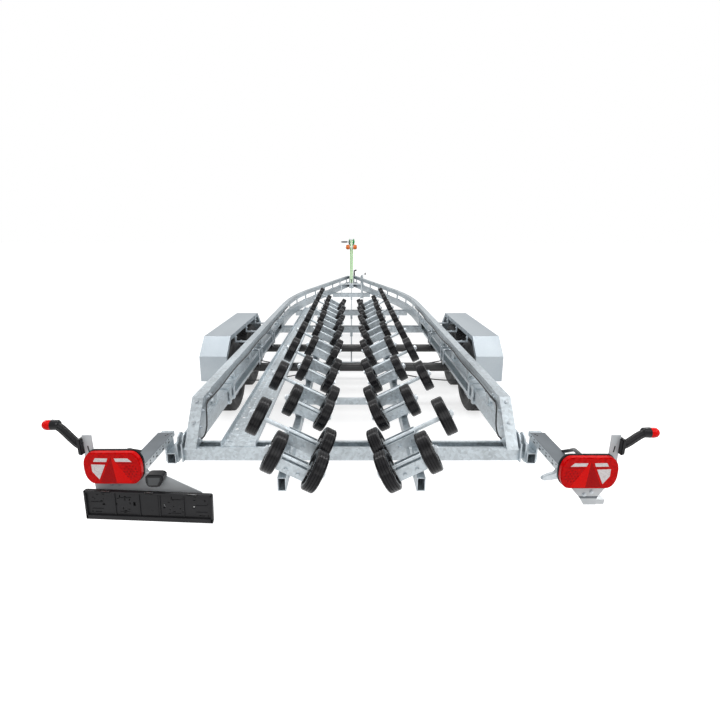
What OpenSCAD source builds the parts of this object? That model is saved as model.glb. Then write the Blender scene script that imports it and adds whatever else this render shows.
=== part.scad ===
// Tandem boat trailer with roller cradles.
// Y points to the coupling, X to the right as seen from behind, Z up. Millimetres.
// The floor is z = 0 and the length is centred on y = 0.

/* [Overall] */
// Length from the number plate to the coupling's nose
overall_length = 9600; // [9200:10:10200]
// Radial gap between solids that turn or slide in one another
running_gap = 0.05; // [0.02:0.01:0.1]

/* [Frame] */
// Half width over the side rails
rail_half = 940; // [930:1:946]
// Width of a side rail
rail_width = 60; // [54:1:64]
// Height of a lower rail
lower_height = 100; // [80:1:104]
// Height of an upper rail
upper_height = 60; // [50:1:70]
// Top of the upper rails over the floor
upper_top = 676; // [660:1:700]
// Wall of the rail tubes
rail_wall = 4; // [3:0.5:5]
// Turn of the rails toward the drawbar, degrees
bend_angle = 14.5; // [13:0.5:16]
// Radius of that turn at the rail's centre line
bend_radius = 6570; // [5000:10:7000]
// Coupling nose to the front ends of the rails
nose_to_rails = 1015; // [980:5:1060]
// Number plate to the rear ends of the upper rails
plate_to_rails = 859; // [840:1:880]
// Slope of the rear posts, run over drop
post_lean = 0.85; // [0.75:0.01:0.9]
// Number of struts between the two rails of a side
strut_count = 15; // [10:1:18]
// Width of a strut
strut_width = 60; // [40:1:80]
// Sheet of struts and posts
strut_sheet = 6; // [4:0.5:8]
// Length of the open channel that carries the axles
channel_length = 2720; // [2600:10:2900]
// Sheet of that channel
channel_sheet = 6; // [4:0.5:8]
// Lip of that channel
channel_lip = 24; // [15:1:30]
// Width of the straps that clamp the channel to the tubes
strap_width = 40; // [30:1:50]
// Sheet of those straps
strap_sheet = 6; // [4:0.5:8]
// Tube inside channel at each joint
splice = 160; // [120:5:200]

/* [Cross-members] */
// Top of the cross-members over the floor
member_top = 434; // [430:1:440]
// Height of a cross-member
member_height = 76; // [70:1:80]
// Width of a cross-member along the trailer
member_width = 100; // [80:1:110]
// Lip along each top edge
member_lip = 22; // [15:1:28]
// Sheet of a cross-member
member_sheet = 4; // [3:0.5:5]
// Half length of the rear cross-member
member_half = 950; // [948:1:956]
// Number plate to the rear cross-member
plate_to_member = 675; // [670:1:690]

/* [Roller cradles] */
// Beam centre from the middle of the trailer
beam_x = 328; // [315:1:340]
// Width of a beam
beam_width = 40; // [36:1:44]
// Height of a beam
beam_height = 70; // [60:1:76]
// Wall of a beam
beam_wall = 4; // [3:0.5:5]
// Number of cradles on each side
cradle_count = 8; // [6:1:8]
// Distance from one cradle to the next
cradle_pitch = 672; // [650:1:680]
// Number plate to the first cradle's rear shaft
plate_to_cradle = 228; // [220:1:260]
// Rear shaft to front shaft of one cradle
shaft_gap = 233; // [220:1:250]
// Tilt of the shafts, degrees
tilt = 27.5; // [24:0.5:29]
// Rear shaft over the beam's top
shaft_height = 123; // [120:1:130]
// Front shaft over the rear shaft
shaft_rise = 21; // [15:1:26]
// Shaft diameter
shaft_d = 24; // [20:1:26]
// Roller diameter
roller_d = 200; // [190:1:204]
// Roller width
roller_width = 60; // [52:1:62]
// Depth of the grooves in a roller's tread
roller_groove = 4; // [2:0.5:6]
// Corner radius of a roller
roller_round = 10; // [5:1:13]
// Inner roller of the rear shaft, from the beam
inner_reach = 180; // [176:1:186]
// Inner roller of the front shaft, from the beam
front_reach = 208; // [200:1:212]
// Middle roller, from the beam
middle_reach = 29; // [28:1:33]
// Outer roller, from the beam
outer_reach = 157; // [150:1:165]
// Width of a cradle channel along the trailer
cradle_width = 80; // [70:1:90]
// Height of a cradle channel
cradle_height = 58; // [52:1:59]
// Channel's edge over the shaft's centre
cradle_over = 4; // [0:1:8]
// Sheet of cradle channels and pivot plates
cradle_sheet = 5; // [4:0.5:6]

/* [Walkway] */
// Gap between the walkway and the straight part of the left rails
walk_side = 135; // [120:1:160]
// Least gap between the walkway and the bend of the left rails
walk_clear = 40; // [20:1:60]
// Walkway width
walk_width = 200; // [180:1:205]
// Height of the walkway's edges
walk_edge = 30; // [20:1:36]
// Sheet of the walkway
walk_sheet = 3; // [2:0.5:4]
// Distance between foot holes
walk_pitch = 180; // [150:5:240]

/* [Running gear] */
// Number plate to the middle of the two axles
plate_to_axles = 2740; // [2700:5:2780]
// Distance between the axles
axle_gap = 740; // [730:1:770]
// Wheel centre from the middle of the trailer
track_half = 1150; // [1148:1:1152]
// Tyre diameter
tyre_d = 660; // [650:1:668]
// Tyre width
tyre_width = 195; // [185:1:200]
// Bead seat diameter of a rim
bead_d = 356; // [350:1:360]
// Tube centre to wheel centre along a trailing arm
arm_length = 170; // [160:1:180]
// Height of the axle tubes' centre over the floor
axle_height = 360; // [352:1:364]
// Axle tube diameter
axle_d = 84; // [80:1:90]
// Stub axle diameter
stub_d = 40; // [36:1:44]
// Brake drum diameter
drum_d = 236; // [220:1:250]
// Wheel studs
stud_count = 5; // [4:1:6]

/* [Mudguards] */
// Outer edge of a mudguard from the middle
guard_outer = 1270; // [1268:1:1275]
// Width of a mudguard
guard_width = 228; // [224:1:232]
// Top of a mudguard over the floor
guard_top = 750; // [740:1:770]
// Bottom edge of a mudguard over the floor
guard_bottom = 398; // [380:1:420]
// Length of the flat top
guard_flat = 1170; // [1140:5:1200]
// Length at the creases over the lower panels
guard_length = 1500; // [1490:5:1560]
// Height of the creases over the floor
guard_crease = 612; // [580:1:640]
// Sheet of a mudguard
guard_sheet = 3; // [2:0.5:4]
// Edge turned in on the inner side
guard_lip = 36; // [20:1:45]
// Skirt turned down on the outer side
guard_skirt = 70; // [50:1:90]

/* [Front] */
// Width and height of the draw tube
draw_size = 100; // [96:1:100]
// Length of the draw tube
draw_length = 760; // [740:5:800]
// Coupling ball diameter
ball_d = 50; // [50:1:50]
// Jockey tube diameter
jockey_d = 60; // [58:1:64]
// Jockey leg diameter
leg_d = 48; // [44:1:50]
// Jockey wheel diameter
jockey_wheel_d = 200; // [190:1:210]
// Jockey wheel width
jockey_wheel_width = 50; // [44:1:54]
// Jockey leg's lift
jockey_lift = 160; // [120:5:170]
// Coupling nose to the jockey tube
nose_to_jockey = 1300; // [1280:5:1320]
// Winch post height over its foot
post_height = 760; // [700:5:820]
// Winch post width
post_width = 60; // [56:1:66]
// Coupling nose to the winch post
nose_to_post = 2100; // [2080:5:2120]
// Winch foot width
foot_width = 420; // [400:1:440]
// Top of the winch foot over the floor
foot_top = 620; // [600:1:640]

/* [Lights] */
// Lens width
lens_width = 236; // [224:1:240]
// Lens height
lens_height = 142; // [134:1:150]
// Corner radius of the lens
lens_round = 58; // [40:1:64]
// Outer edge of the lens from the middle
lens_outer = 1105; // [1100:1:1112]
// Bottom of the left lens over the floor
lens_bottom = 601; // [598:1:610]
// How much lower the right lens sits
lens_drop = 22; // [0:1:26]
// Number plate holder width
plate_width = 532; // [520:1:536]
// Number plate holder height
plate_height = 135; // [128:1:138]
// Turn of the plate holder, degrees
plate_turn = 2.5; // [0:0.5:3]
// Width of a light arm's cover
arm_width = 84; // [80:1:88]
// Top of a light arm's cover over the floor
arm_top = 510; // [508:1:514]
// Centre of a light arm from the middle
arm_x = 1062; // [1060:1:1066]
// Travel of a light arm
arm_travel = 200; // [150:5:210]
// Marker lamp diameter
marker_d = 45; // [40:1:50]
// Diameter of a marker lamp's stalk
stalk_d = 32; // [26:1:34]
// Reach of a marker lamp past its tab
marker_arm = 147; // [130:1:153]

/* [Hidden] */
$fn = 48;
y_rear = -overall_length / 2;
y_nose = overall_length / 2;
rail_cx = rail_half - rail_width / 2;
rail_in = rail_half - rail_width;
y_rail_rear = y_rear + plate_to_rails;
y_rail_end = y_nose - nose_to_rails;
x_rail_end = (draw_size + rail_width) / 2;
bend_in = bend_radius * (1 - cos(bend_angle));
bend_steps = 24;
v_run_x = rail_cx - bend_in - x_rail_end;
v_run = v_run_x / sin(bend_angle);
y_bend_end = y_rail_end - v_run * cos(bend_angle);
y_bend = y_bend_end - bend_radius * sin(bend_angle);
bend_run = bend_radius * bend_angle * PI / 180;
rail_run = y_bend - y_rail_rear + bend_run + v_run;
lower_bottom = member_top;
lower_top = lower_bottom + lower_height;
upper_bottom = upper_top - upper_height;
post_foot = y_rail_rear - (upper_top - member_top) * post_lean;
post_face = strut_sheet * sqrt(1 + pow(post_lean, 2));
member_bottom = member_top - member_height;
y_member = y_rear + plate_to_member;
y_axles = y_rear + plate_to_axles;
y_channel = y_axles - channel_length / 2;
y_mid_member = y_axles + channel_length / 2;
y_front_member = y_mid_member + 1260;
y_post = y_nose - nose_to_post;
y_bow_member = y_post - member_width / 2;
y_tie = y_member + 675;
tie_size = 40;
walk_outer = rail_in - walk_side;
walk_bend = acos((walk_outer + walk_clear - rail_cx + bend_radius) / (bend_radius - rail_width / 2));
walk_length = y_bend + (bend_radius - rail_width / 2) * sin(walk_bend) - y_member - 20;
beam_top = member_top + beam_height;
y_cradle = y_rear + plate_to_cradle;
beam_rear = y_cradle + 7;
beam_length = y_front_member + member_width / 2 - beam_rear;
shaft_z = beam_top + shaft_height;
side_gap = 6;
pivot_z = beam_top + 34;
wheel_r = tyre_d / 2;
rim_edge = bead_d / 2 + 12;
arm_drop = axle_height - wheel_r;
arm_back = sqrt(pow(arm_length, 2) - pow(arm_drop, 2));
y_tube_rear = y_axles - axle_gap / 2 + arm_back;
y_tube_front = y_axles + axle_gap / 2 + arm_back;
hub_bore = stub_d + 2 * running_gap;
drum_x = -112;
drum_web = 57;
guard_inner = guard_outer - guard_width;
y_draw = y_rail_end - 280;
block_length = 330;
draw_mid = lower_bottom + draw_size / 2;
coupling_shaft_d = 50;
y_jockey = y_nose - nose_to_jockey;
fork_top = 235;
tube_bottom = fork_top + jockey_lift + 20;
tube_top = 700;
trail = 45;
socket_width = 50;
socket_height = 62;
socket_length = 620;
socket_x = member_half + 60;
y_socket = y_member - 36;
y_arm = y_member + 45;
cover_length = 360;
guide_width = arm_width - 16;
guide_height = 30;
guide_wall = 4;
bar_width = guide_width - 2 * guide_wall - 2 * running_gap;
bar_height = guide_height - 2 * guide_wall - 2 * running_gap;
cover_sheet = 3;
guide_top = arm_top - cover_sheet - 3;
y_carrier = y_rear + 61;
carrier_sheet = 4;
tab_width = 40;
tab_outer = lens_outer + 10;
marker_reach = tab_outer + marker_arm;
plate_depth = 18;
plate_x = tab_outer - plate_width / 2;
plate_z = 502.5;
cable_d = 9;

zinc = [0.72, 0.76, 0.79];
rubber = [0.08, 0.08, 0.09];
black = [0.12, 0.12, 0.13];
red = [0.75, 0.08, 0.1];
lime = [0.55, 0.85, 0.5];

// Outer face of a side rail at a given y.
function rail_x(y) =
    y < y_bend ? rail_half
    : y < y_bend_end
        ? rail_cx - bend_radius + sqrt(pow(bend_radius, 2) - pow(y - y_bend, 2)) + rail_width / 2
        : rail_cx - bend_in - (y - y_bend_end) * tan(bend_angle) + rail_width / 2 / cos(bend_angle);

// Closed convex outline, listed clockwise, moved inward by t.
function unit(v) = v / norm(v);
function cross2(a, b) = a[0] * b[1] - a[1] * b[0];
function meet(p, d, q, g) = p + d * cross2(q - p, g) / cross2(d, g);
function inset(p, t) = [
    for (i = [0 : len(p) - 1])
        let (
            a = p[(i + len(p) - 1) % len(p)],
            b = p[i],
            c = p[(i + 1) % len(p)],
            u = unit(b - a),
            v = unit(c - b),
            nu = [u[1], -u[0]] * t,
            nv = [v[1], -v[0]] * t
        )
        meet(a + nu, u, b + nv, v)
];

module both() {
    children();
    mirror([1, 0, 0]) children();
}

module left() {
    mirror([1, 0, 0]) children();
}

// Extrudes an outline drawn in (y, z) along plus X.
module along_x(length) {
    rotate([90, 0, 90]) linear_extrude(length) children();
}

// Extrudes an outline drawn in (x, z) along plus Y.
module along_y(length) {
    translate([0, length, 0]) rotate([90, 0, 0]) linear_extrude(length) children();
}

module frame_2d(width, height, wall) {
    difference() {
        square([width, height]);
        translate([wall, wall]) square([width - 2 * wall, height - 2 * wall]);
    }
}

// Rectangular tube along Y, centred on x = 0, standing on z = 0.
module tube_y(width, height, wall, length) {
    translate([-width / 2, 0, 0]) along_y(length) frame_2d(width, height, wall);
}

module rounded_2d(width, height, r) {
    translate([r, 0]) square([width - 2 * r, height]);
    translate([0, r]) square([width, height - 2 * r]);
    for (x = [r, width - r]) for (y = [r, height - r]) translate([x, y]) circle(r);
}

// Hexagon head on a washer, standing on z = 0.
module bolt(d) {
    cylinder(d = 2.2 * d, h = 2);
    cylinder(d = 1.9 * d, h = 0.7 * d + 2, $fn = 6);
}

// Carries children to a place s along a right side rail: Y runs along the rail, X outward.
module on_rail(s) {
    straight = y_bend - y_rail_rear;
    if (s <= straight)
        translate([rail_cx, y_rail_rear + s, 0]) children();
    else
        translate([rail_cx - bend_radius, y_bend, 0])
            rotate([0, 0, min((s - straight) / bend_radius * 180 / PI, bend_angle)])
                translate([bend_radius, max(0, s - straight - bend_run), 0]) children();
}

// Plan of a right rail from y = from to its front end, its sides moved inward by t.
module rail_2d(from, t) {
    half = rail_width / 2 - t;
    bend = [for (i = [0 : bend_steps]) bend_angle * i / bend_steps];
    function side(d, a, run) = [
        rail_cx - bend_radius + (bend_radius + d) * cos(a) - run * sin(a),
        y_bend + (bend_radius + d) * sin(a) + run * cos(a)
    ];
    polygon(concat(
        [[rail_cx + half, from]],
        [for (a = bend) side(half, a, 0)],
        [side(half, bend_angle, v_run + 60), side(-half, bend_angle, v_run + 60)],
        [for (i = [bend_steps : -1 : 0]) side(-half, bend[i], 0)],
        [[rail_cx - half, from]]));
}

// Rail tube that follows the bend and is cut flush with the draw tube.
module bent_rail(from, height, bottom) {
    difference() {
        translate([0, 0, bottom]) linear_extrude(height) rail_2d(from, 0);
        translate([0, 0, bottom + rail_wall])
            linear_extrude(height - 2 * rail_wall) rail_2d(from - 1, rail_wall);
        translate([-rail_half, y_draw - 100, bottom - 1])
            cube([rail_half + draw_size / 2, 1000, height + 2]);
    }
}

// Lower rail: a rear tube and a bent front tube, with the axle channel between them.
module lower_rail() {
    color(zinc) {
        difference() {
            translate([rail_cx, y_member, lower_bottom])
                tube_y(rail_width, lower_height, rail_wall, y_channel + splice - y_member);
            translate([rail_in - 1, 0, 0]) along_x(rail_width + 2) polygon([
                [post_foot - 10, member_top - 1],
                [post_foot + post_face + 1, member_top - 1],
                [post_foot + post_face + 2 + (lower_height + 1) * post_lean, lower_top + 1],
                [post_foot - 10, lower_top + 1]
            ]);
        }
        bent_rail(y_channel + channel_length - splice, lower_height, lower_bottom);
    }
}

module lower_rail_right() {
    lower_rail();
}

module lower_rail_left() {
    left() lower_rail();
}

// Lipped channel round the ends of a lower rail's tubes, clamped to them by straps.
module axle_channels() {
    width = rail_width + 2 * channel_sheet;
    height = lower_height + 2 * channel_sheet;
    ends = [30, splice - 20, channel_length - splice + 20, channel_length - 30];
    color(zinc) both() {
        translate([rail_in - channel_sheet, y_channel, lower_bottom - channel_sheet])
            along_y(channel_length) difference() {
                frame_2d(width, height, channel_sheet);
                translate([-1, channel_lip]) square([channel_sheet + 2, height - 2 * channel_lip]);
            }
        for (y = ends)
            translate([rail_cx, y_channel + y - strap_width / 2, lower_bottom - channel_sheet - strap_sheet])
                tube_y(width + 2 * strap_sheet, height + 2 * strap_sheet, strap_sheet, strap_width);
    }
}

// Upper rail with the folded post that runs down to the rear cross-member.
module upper_rail() {
    color(zinc) {
        bent_rail(y_rail_rear, upper_height, upper_bottom);
        translate([rail_in - strut_sheet, 0, 0]) along_x(strut_sheet) polygon([
            [y_rail_rear, upper_top],
            [post_foot, member_top],
            [post_foot + 120, member_top],
            [y_rail_rear + 40, lower_top + 20],
            [y_rail_rear + 150, upper_bottom],
            [y_rail_rear + 150, upper_top]
        ]);
        translate([rail_in, 0, 0]) along_x(rail_width) polygon([
            [y_rail_rear, upper_top],
            [post_foot, member_top],
            [post_foot + post_face, member_top],
            [y_rail_rear, upper_top - post_face / post_lean]
        ]);
    }
}

module upper_rail_right() {
    upper_rail();
}

module upper_rail_left() {
    left() upper_rail();
}

// Folded strut between the lower and the upper rail, bolted at its foot and head.
module strut(foot) {
    gap = upper_bottom - foot;
    x = 4 - rail_width / 2;
    flange = rail_width - 14;
    translate([x, -strut_width / 2, foot]) {
        cube([strut_sheet, strut_width, gap]);
        cube([flange, strut_width, 5]);
        translate([0, 0, gap - 5]) cube([flange, strut_width, 5]);
    }
    translate([8, 0, foot + 5]) bolt(10);
    translate([8, 0, upper_bottom - 5]) mirror([0, 0, 1]) bolt(10);
}

module rail_struts() {
    first = 260;
    last = rail_run - 200;
    color(zinc) both() for (i = [0 : strut_count - 1]) {
        s = first + i * (last - first) / (strut_count - 1);
        from_channel = abs(y_rail_rear + s - y_axles) - channel_length / 2;
        on_rail(s) strut(from_channel < strut_width / 2 ? lower_top + channel_sheet : lower_top);
    }
}

// Lipped channel, open at the top, from y = 0 forward.
module cross_member(half) {
    translate([-half, 0, member_bottom]) along_x(2 * half) difference() {
        frame_2d(member_width, member_height, member_sheet);
        translate([member_lip, member_height - member_sheet - 1])
            square([member_width - 2 * member_lip, member_sheet + 2]);
    }
}

module cross_members() {
    color(zinc) {
        translate([0, y_member, 0]) cross_member(member_half);
        translate([0, y_mid_member, 0]) cross_member(rail_half);
        translate([0, y_front_member, 0])
            cross_member(rail_x(y_front_member + member_width) - 4);
        translate([0, y_bow_member, 0])
            cross_member(rail_x(y_bow_member + member_width) - 4);
        translate([beam_width / 2 - beam_x, y_tie, member_top])
            cube([2 * beam_x - beam_width, tie_size, tie_size]);
    }
}

module roller_beams() {
    color(zinc) both() translate([beam_x, beam_rear, member_top])
        tube_y(beam_width, beam_height, beam_wall, beam_length);
}

// Carries children to a cradle shaft: X runs outward along it, Z is square to it.
module at_shaft(i, front) {
    y = y_cradle + i * cradle_pitch + front * shaft_gap;
    translate([beam_x, y, shaft_z + front * shaft_rise]) rotate([0, -tilt, 0]) children();
}

function inner_end(front) = front > 0 ? front_reach : inner_reach;
function outer_end(front) = front > 0 ? outer_reach : middle_reach;

// Envelope of a cradle channel around its shaft, its ends, sides and bottom moved in by t.
module channel_block(front, t) {
    from = roller_width / 2 + side_gap - inner_end(front);
    to = middle_reach - roller_width / 2 - side_gap;
    translate([from + t, t - cradle_width / 2, cradle_over - cradle_height + t])
        cube([to - from - 2 * t, cradle_width - 2 * t, cradle_height]);
}

module cradle_channel(front) {
    difference() {
        channel_block(front, 0);
        translate([-500, cradle_sheet - cradle_width / 2, cradle_over - cradle_height + cradle_sheet])
            cube([1000, cradle_width - 2 * cradle_sheet, cradle_height]);
    }
    from = roller_width / 2 + side_gap - inner_end(front);
    to = middle_reach - roller_width / 2 - side_gap;
    for (x = [from, to - cradle_sheet])
        translate([x, -cradle_width / 2, cradle_over - cradle_height])
            cube([cradle_sheet, cradle_width, cradle_height]);
    translate([-roller_width / 2 - inner_end(front) - 14, 0, 0]) rotate([0, 90, 0])
        cylinder(d = shaft_d, h = inner_end(front) + outer_end(front) + roller_width + 28);
    for (x = [-110, -50]) for (s = [-1, 1])
        translate([x, s * cradle_width / 2, cradle_over - cradle_height / 2 - 8])
            rotate([-s * 90, 0, 0]) bolt(10);
}

// Rocker that joins the two channels of a cradle and turns on a pin over the beam.
module rocker(i) {
    y0 = y_cradle + i * cradle_pitch;
    mid = y0 + shaft_gap / 2;
    top = shaft_z + cradle_over - cradle_height + 10;
    half = cradle_width / 2 - 0.7 * cradle_sheet;
    difference() {
        translate([beam_x - beam_width / 2, 0, 0]) along_x(beam_width) polygon([
            [mid - 60, beam_top + 10],
            [mid + 60, beam_top + 10],
            [y0 + shaft_gap + half, top + 36],
            [y0 + shaft_gap - half + 10, top + 36],
            [y0 + shaft_gap - half, top - 14],
            [y0 + half, top - 14],
            [y0 + half - 10, top],
            [y0 - half, top]
        ]);
        for (front = [0, 1]) at_shaft(i, front) channel_block(front, cradle_sheet / 2);
    }
    for (s = [-1, 1])
        translate([beam_x + s * (beam_width + cradle_sheet) / 2 - cradle_sheet / 2, mid, 0]) {
            translate([0, 0, pivot_z]) rotate([0, 90, 0]) cylinder(d = 44, h = cradle_sheet);
            translate([0, -22, member_top + 20]) cube([cradle_sheet, 44, pivot_z - member_top - 20]);
        }
    translate([beam_x - beam_width / 2 - cradle_sheet - 8, mid, pivot_z]) rotate([0, 90, 0])
        cylinder(d = 16, h = beam_width + 2 * cradle_sheet + 16);
}

module cradles() {
    color(zinc) for (i = [0 : cradle_count - 1]) {
        for (front = [0, 1]) at_shaft(i, front) cradle_channel(front);
        rocker(i);
    }
}

module cradles_right() {
    cradles();
}

module cradles_left() {
    left() cradles();
}

// Grooved rubber roller around Z, centred on the origin.
module roller() {
    r = roller_d / 2;
    w = roller_width / 2;
    steps = 4;
    corner = [for (i = [0 : steps]) let (a = 90 * i / steps)
        [r - roller_round * (1 - cos(a)), w - roller_round * (1 - sin(a))]];
    rotate_extrude() difference() {
        polygon(concat(
            [[shaft_d / 2, w], [shaft_d / 2, -w]],
            [[34, -w], [40, 12 - w], [r - 26, 12 - w], [r - 20, -w]],
            [for (i = [steps : -1 : 0]) [corner[i][0], -corner[i][1]]],
            corner,
            [[r - 20, w], [r - 26, w - 12], [40, w - 12], [34, w]]));
        for (i = [-1.5 : 1 : 1.5])
            translate([r - roller_groove, i * 10 - 2]) square([roller_groove + 1, 4]);
    }
}

module roller_at(i, front, reach) {
    at_shaft(i, front) translate([reach, 0, 0]) rotate([0, 90, 0]) roller();
}

module inner_rollers() {
    color(rubber) for (i = [0 : cradle_count - 1]) {
        roller_at(i, 0, -inner_reach);
        roller_at(i, 1, -front_reach);
    }
}

module inner_rollers_right() {
    inner_rollers();
}

module inner_rollers_left() {
    left() inner_rollers();
}

module upper_rollers() {
    color(rubber) for (i = [0 : cradle_count - 1]) {
        roller_at(i, 0, middle_reach);
        roller_at(i, 1, outer_reach);
    }
}

module upper_rollers_right() {
    upper_rollers();
}

module upper_rollers_left() {
    left() upper_rollers();
}

// Perforated plank with turned up edges along the left side.
module walkway() {
    y0 = y_member + 20;
    holes = floor((walk_length - 120) / walk_pitch);
    color(zinc) translate([-walk_outer, y0, member_top]) difference() {
        along_y(walk_length) difference() {
            square([walk_width, walk_edge]);
            translate([walk_sheet, walk_sheet]) square([walk_width - 2 * walk_sheet, walk_edge]);
        }
        for (i = [0 : holes]) for (x = [36, walk_width - 36])
            translate([x, 60 + i * walk_pitch, -1]) cylinder(d = 22, h = walk_sheet + 2, $fn = 24);
    }
}

// Draw tube between the rails, its upper block, and the overrun housing.
module drawbar() {
    y_house = y_draw + draw_length;
    color(zinc) {
        translate([0, y_draw, lower_bottom]) tube_y(draw_size, draw_size, 6, draw_length);
        translate([0, y_draw, upper_bottom]) tube_y(draw_size, upper_height, 5, block_length);
        for (y = [y_draw + 30, y_draw + block_length - 70]) for (s = [-1, 1])
            translate([s * 40 - 4, y, lower_top])
                cube([8, 50, upper_bottom - lower_top]);
        translate([0, y_house - 40, draw_mid]) rotate([-90, 0, 0]) {
            difference() {
                union() {
                    cylinder(d = 88, h = 250);
                    translate([0, 0, 40]) cylinder(d = 118, h = 14);
                    translate([0, 0, 228]) cylinder(d = 104, h = 22);
                }
                translate([0, 0, 60]) cylinder(d = coupling_shaft_d, h = 200);
            }
        }
        translate([-58, y_house - 230, lower_top]) cube([116, 240, 8]);
        for (x = [-42, 42]) for (y = [y_house - 200, y_house - 60])
            translate([x, y, lower_top + 8]) bolt(12);
    }
    color(black) translate([0, y_house + 210, draw_mid]) rotate([-90, 0, 0]) rotate_extrude()
        polygon(concat([[coupling_shaft_d / 2, 0]],
            [for (i = [0 : 12]) [i % 2 == 0 ? 33 : 43, i * 10]], [[coupling_shaft_d / 2, 120]]));
}

// Coupling head with a ball socket that opens downward.
module coupling_head() {
    y_head = y_draw + draw_length + 330;
    y_ball = y_nose - 45;
    color(zinc) difference() {
        union() {
            translate([0, y_head - 190, draw_mid]) rotate([-90, 0, 0])
                cylinder(d = coupling_shaft_d, h = 240);
            translate([0, y_head, draw_mid]) rotate([-90, 0, 0]) cylinder(d = 74, h = 60);
            translate([-30, y_head + 20, draw_mid - 28]) cube([60, y_ball - y_head - 20, 56]);
            translate([0, y_ball, draw_mid - 30]) cylinder(d = 90, h = 60);
            translate([0, y_ball, draw_mid]) sphere(d = 78);
        }
        translate([0, y_ball, draw_mid - 12]) sphere(d = ball_d + 0.4);
        translate([0, y_ball, draw_mid - 60]) cylinder(d = ball_d + 0.4, h = 48);
    }
    color(black) {
        translate([-12, y_head + 40, draw_mid + 28]) cube([24, 110, 22]);
        translate([-14, y_head - 30, draw_mid + 48]) cube([28, 110, 14]);
    }
}

module handbrake_lever() {
    y0 = y_draw + draw_length - 60;
    color(black) {
        translate([draw_size / 2, y0, draw_mid]) rotate([0, 90, 0]) cylinder(d = 60, h = 10);
        translate([draw_size / 2 + 10, y0, draw_mid]) rotate([12, 0, 0]) {
            translate([0, -16, -16]) cube([8, 32, 190]);
            translate([4, 0, 165]) cylinder(d = 30, h = 120);
        }
        translate([draw_size / 2 + 5, y0, draw_mid]) rotate([0, 90, 0]) cylinder(d = 24, h = 22);
    }
}

// Portal foot on the bow cross-member and the upright post.
module winch_post() {
    color(zinc) {
        for (s = [-1, 1])
            translate([s * (foot_width / 2 - 12) - 8, y_bow_member, member_top])
                cube([16, member_width, foot_top - 10 - member_top]);
        translate([-foot_width / 2, y_bow_member - 10, foot_top - 10])
            cube([foot_width, member_width + 20, 10]);
    }
    color(lime) {
        translate([0, y_post - 40, foot_top]) difference() {
            translate([-post_width / 2, 0, 0]) cube([post_width, 80, post_height]);
            translate([4 - post_width / 2, 4, -1]) cube([post_width - 8, 72, post_height + 2]);
        }
        translate([-60, y_post - 55, foot_top]) difference() {
            cube([120, 110, 8]);
            translate([60 - post_width / 2, 15, -1]) cube([post_width, 80, 10]);
        }
    }
}

// Winch on the post's head, with its crank on the left.
module winch() {
    z0 = foot_top + post_height;
    axis = z0 + 52;
    color(lime) {
        translate([-36, y_post - 55, z0]) cube([72, 110, 6]);
        for (x = [-36, 31]) translate([x, y_post, axis]) rotate([0, 90, 0]) {
            cylinder(d = 118, h = 5);
            translate([-6, -55, 0]) cube([58, 110, 5]);
        }
    }
    color(black) {
        translate([-44, y_post, axis]) rotate([0, 90, 0]) cylinder(d = 34, h = 88);
        translate([-44, y_post + 34, axis - 12]) rotate([0, 90, 0]) cylinder(d = 16, h = 86);
        translate([-86, y_post, axis]) rotate([0, 90, 0]) cylinder(d = 20, h = 42);
        translate([-86, y_post - 150, axis - 12]) cube([8, 162, 24]);
        translate([-196, y_post - 138, axis]) rotate([0, 90, 0]) cylinder(d = 28, h = 110);
    }
}

// Pair of bow rollers on a spindle through the post.
module bow_rollers() {
    z0 = foot_top + post_height - 46;
    color([0.9, 0.35, 0.1]) for (s = [-1, 1])
        translate([s * (post_width / 2 + 38) - 36, y_post - 86, z0]) rotate([0, 90, 0])
            rotate_extrude() polygon([[9, 0], [38, 0], [45, 12], [45, 60], [38, 72], [9, 72]]);
    color(zinc) {
        translate([-post_width / 2 - 84, y_post - 86, z0]) rotate([0, 90, 0])
            cylinder(d = 18, h = post_width + 168);
        translate([-post_width / 2, y_post - 104, z0 - 24]) cube([post_width, 64, 48]);
    }
}

// Jockey wheel clamped outside the right rail.
module jockey_x_place() {
    translate([rail_x(y_jockey) + jockey_d / 2 + 14, y_jockey, 0]) children();
}

module jockey_tube() {
    clamp_z = lower_bottom + 8;
    color(zinc) {
        difference() {
            jockey_x_place() {
                translate([0, 0, tube_bottom]) cylinder(d = jockey_d, h = tube_top - tube_bottom);
                translate([0, 0, clamp_z]) cylinder(d = jockey_d + 24, h = 84);
                translate([-90, -30, clamp_z]) cube([90, 60, 84]);
            }
            jockey_x_place() translate([0, 0, tube_bottom - 1])
                cylinder(d = leg_d + 2 * running_gap, h = tube_top - tube_bottom - 7);
            translate([rail_cx - bend_radius, y_bend, lower_bottom - 1]) rotate([0, 0, bend_angle])
                translate([bend_radius - 300, 0, 0])
                    cube([300 + rail_width / 2, v_run + 100, lower_height + 2]);
        }
        jockey_x_place() {
            translate([0, 0, tube_top]) cylinder(d = jockey_d - 8, h = 10);
            translate([0, 0, tube_top + 10]) cylinder(d = 18, h = 12);
            translate([-10, -10, tube_top + 22]) cube([90, 20, 6]);
        }
    }
    color(black) jockey_x_place() translate([68, 0, tube_top + 28]) {
        cylinder(d = 26, h = 40);
    }
}

module jockey_leg() {
    color(zinc) jockey_x_place() translate([0, 0, fork_top])
        difference() {
            cylinder(d = leg_d, h = tube_top - 15 - jockey_lift - fork_top - 10);
            translate([0, 0, 30]) cylinder(d = leg_d - 8, h = 1000);
            translate([0, 0, -1]) cylinder(d = 20 + 2 * running_gap, h = 25);
        }
}

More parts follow.
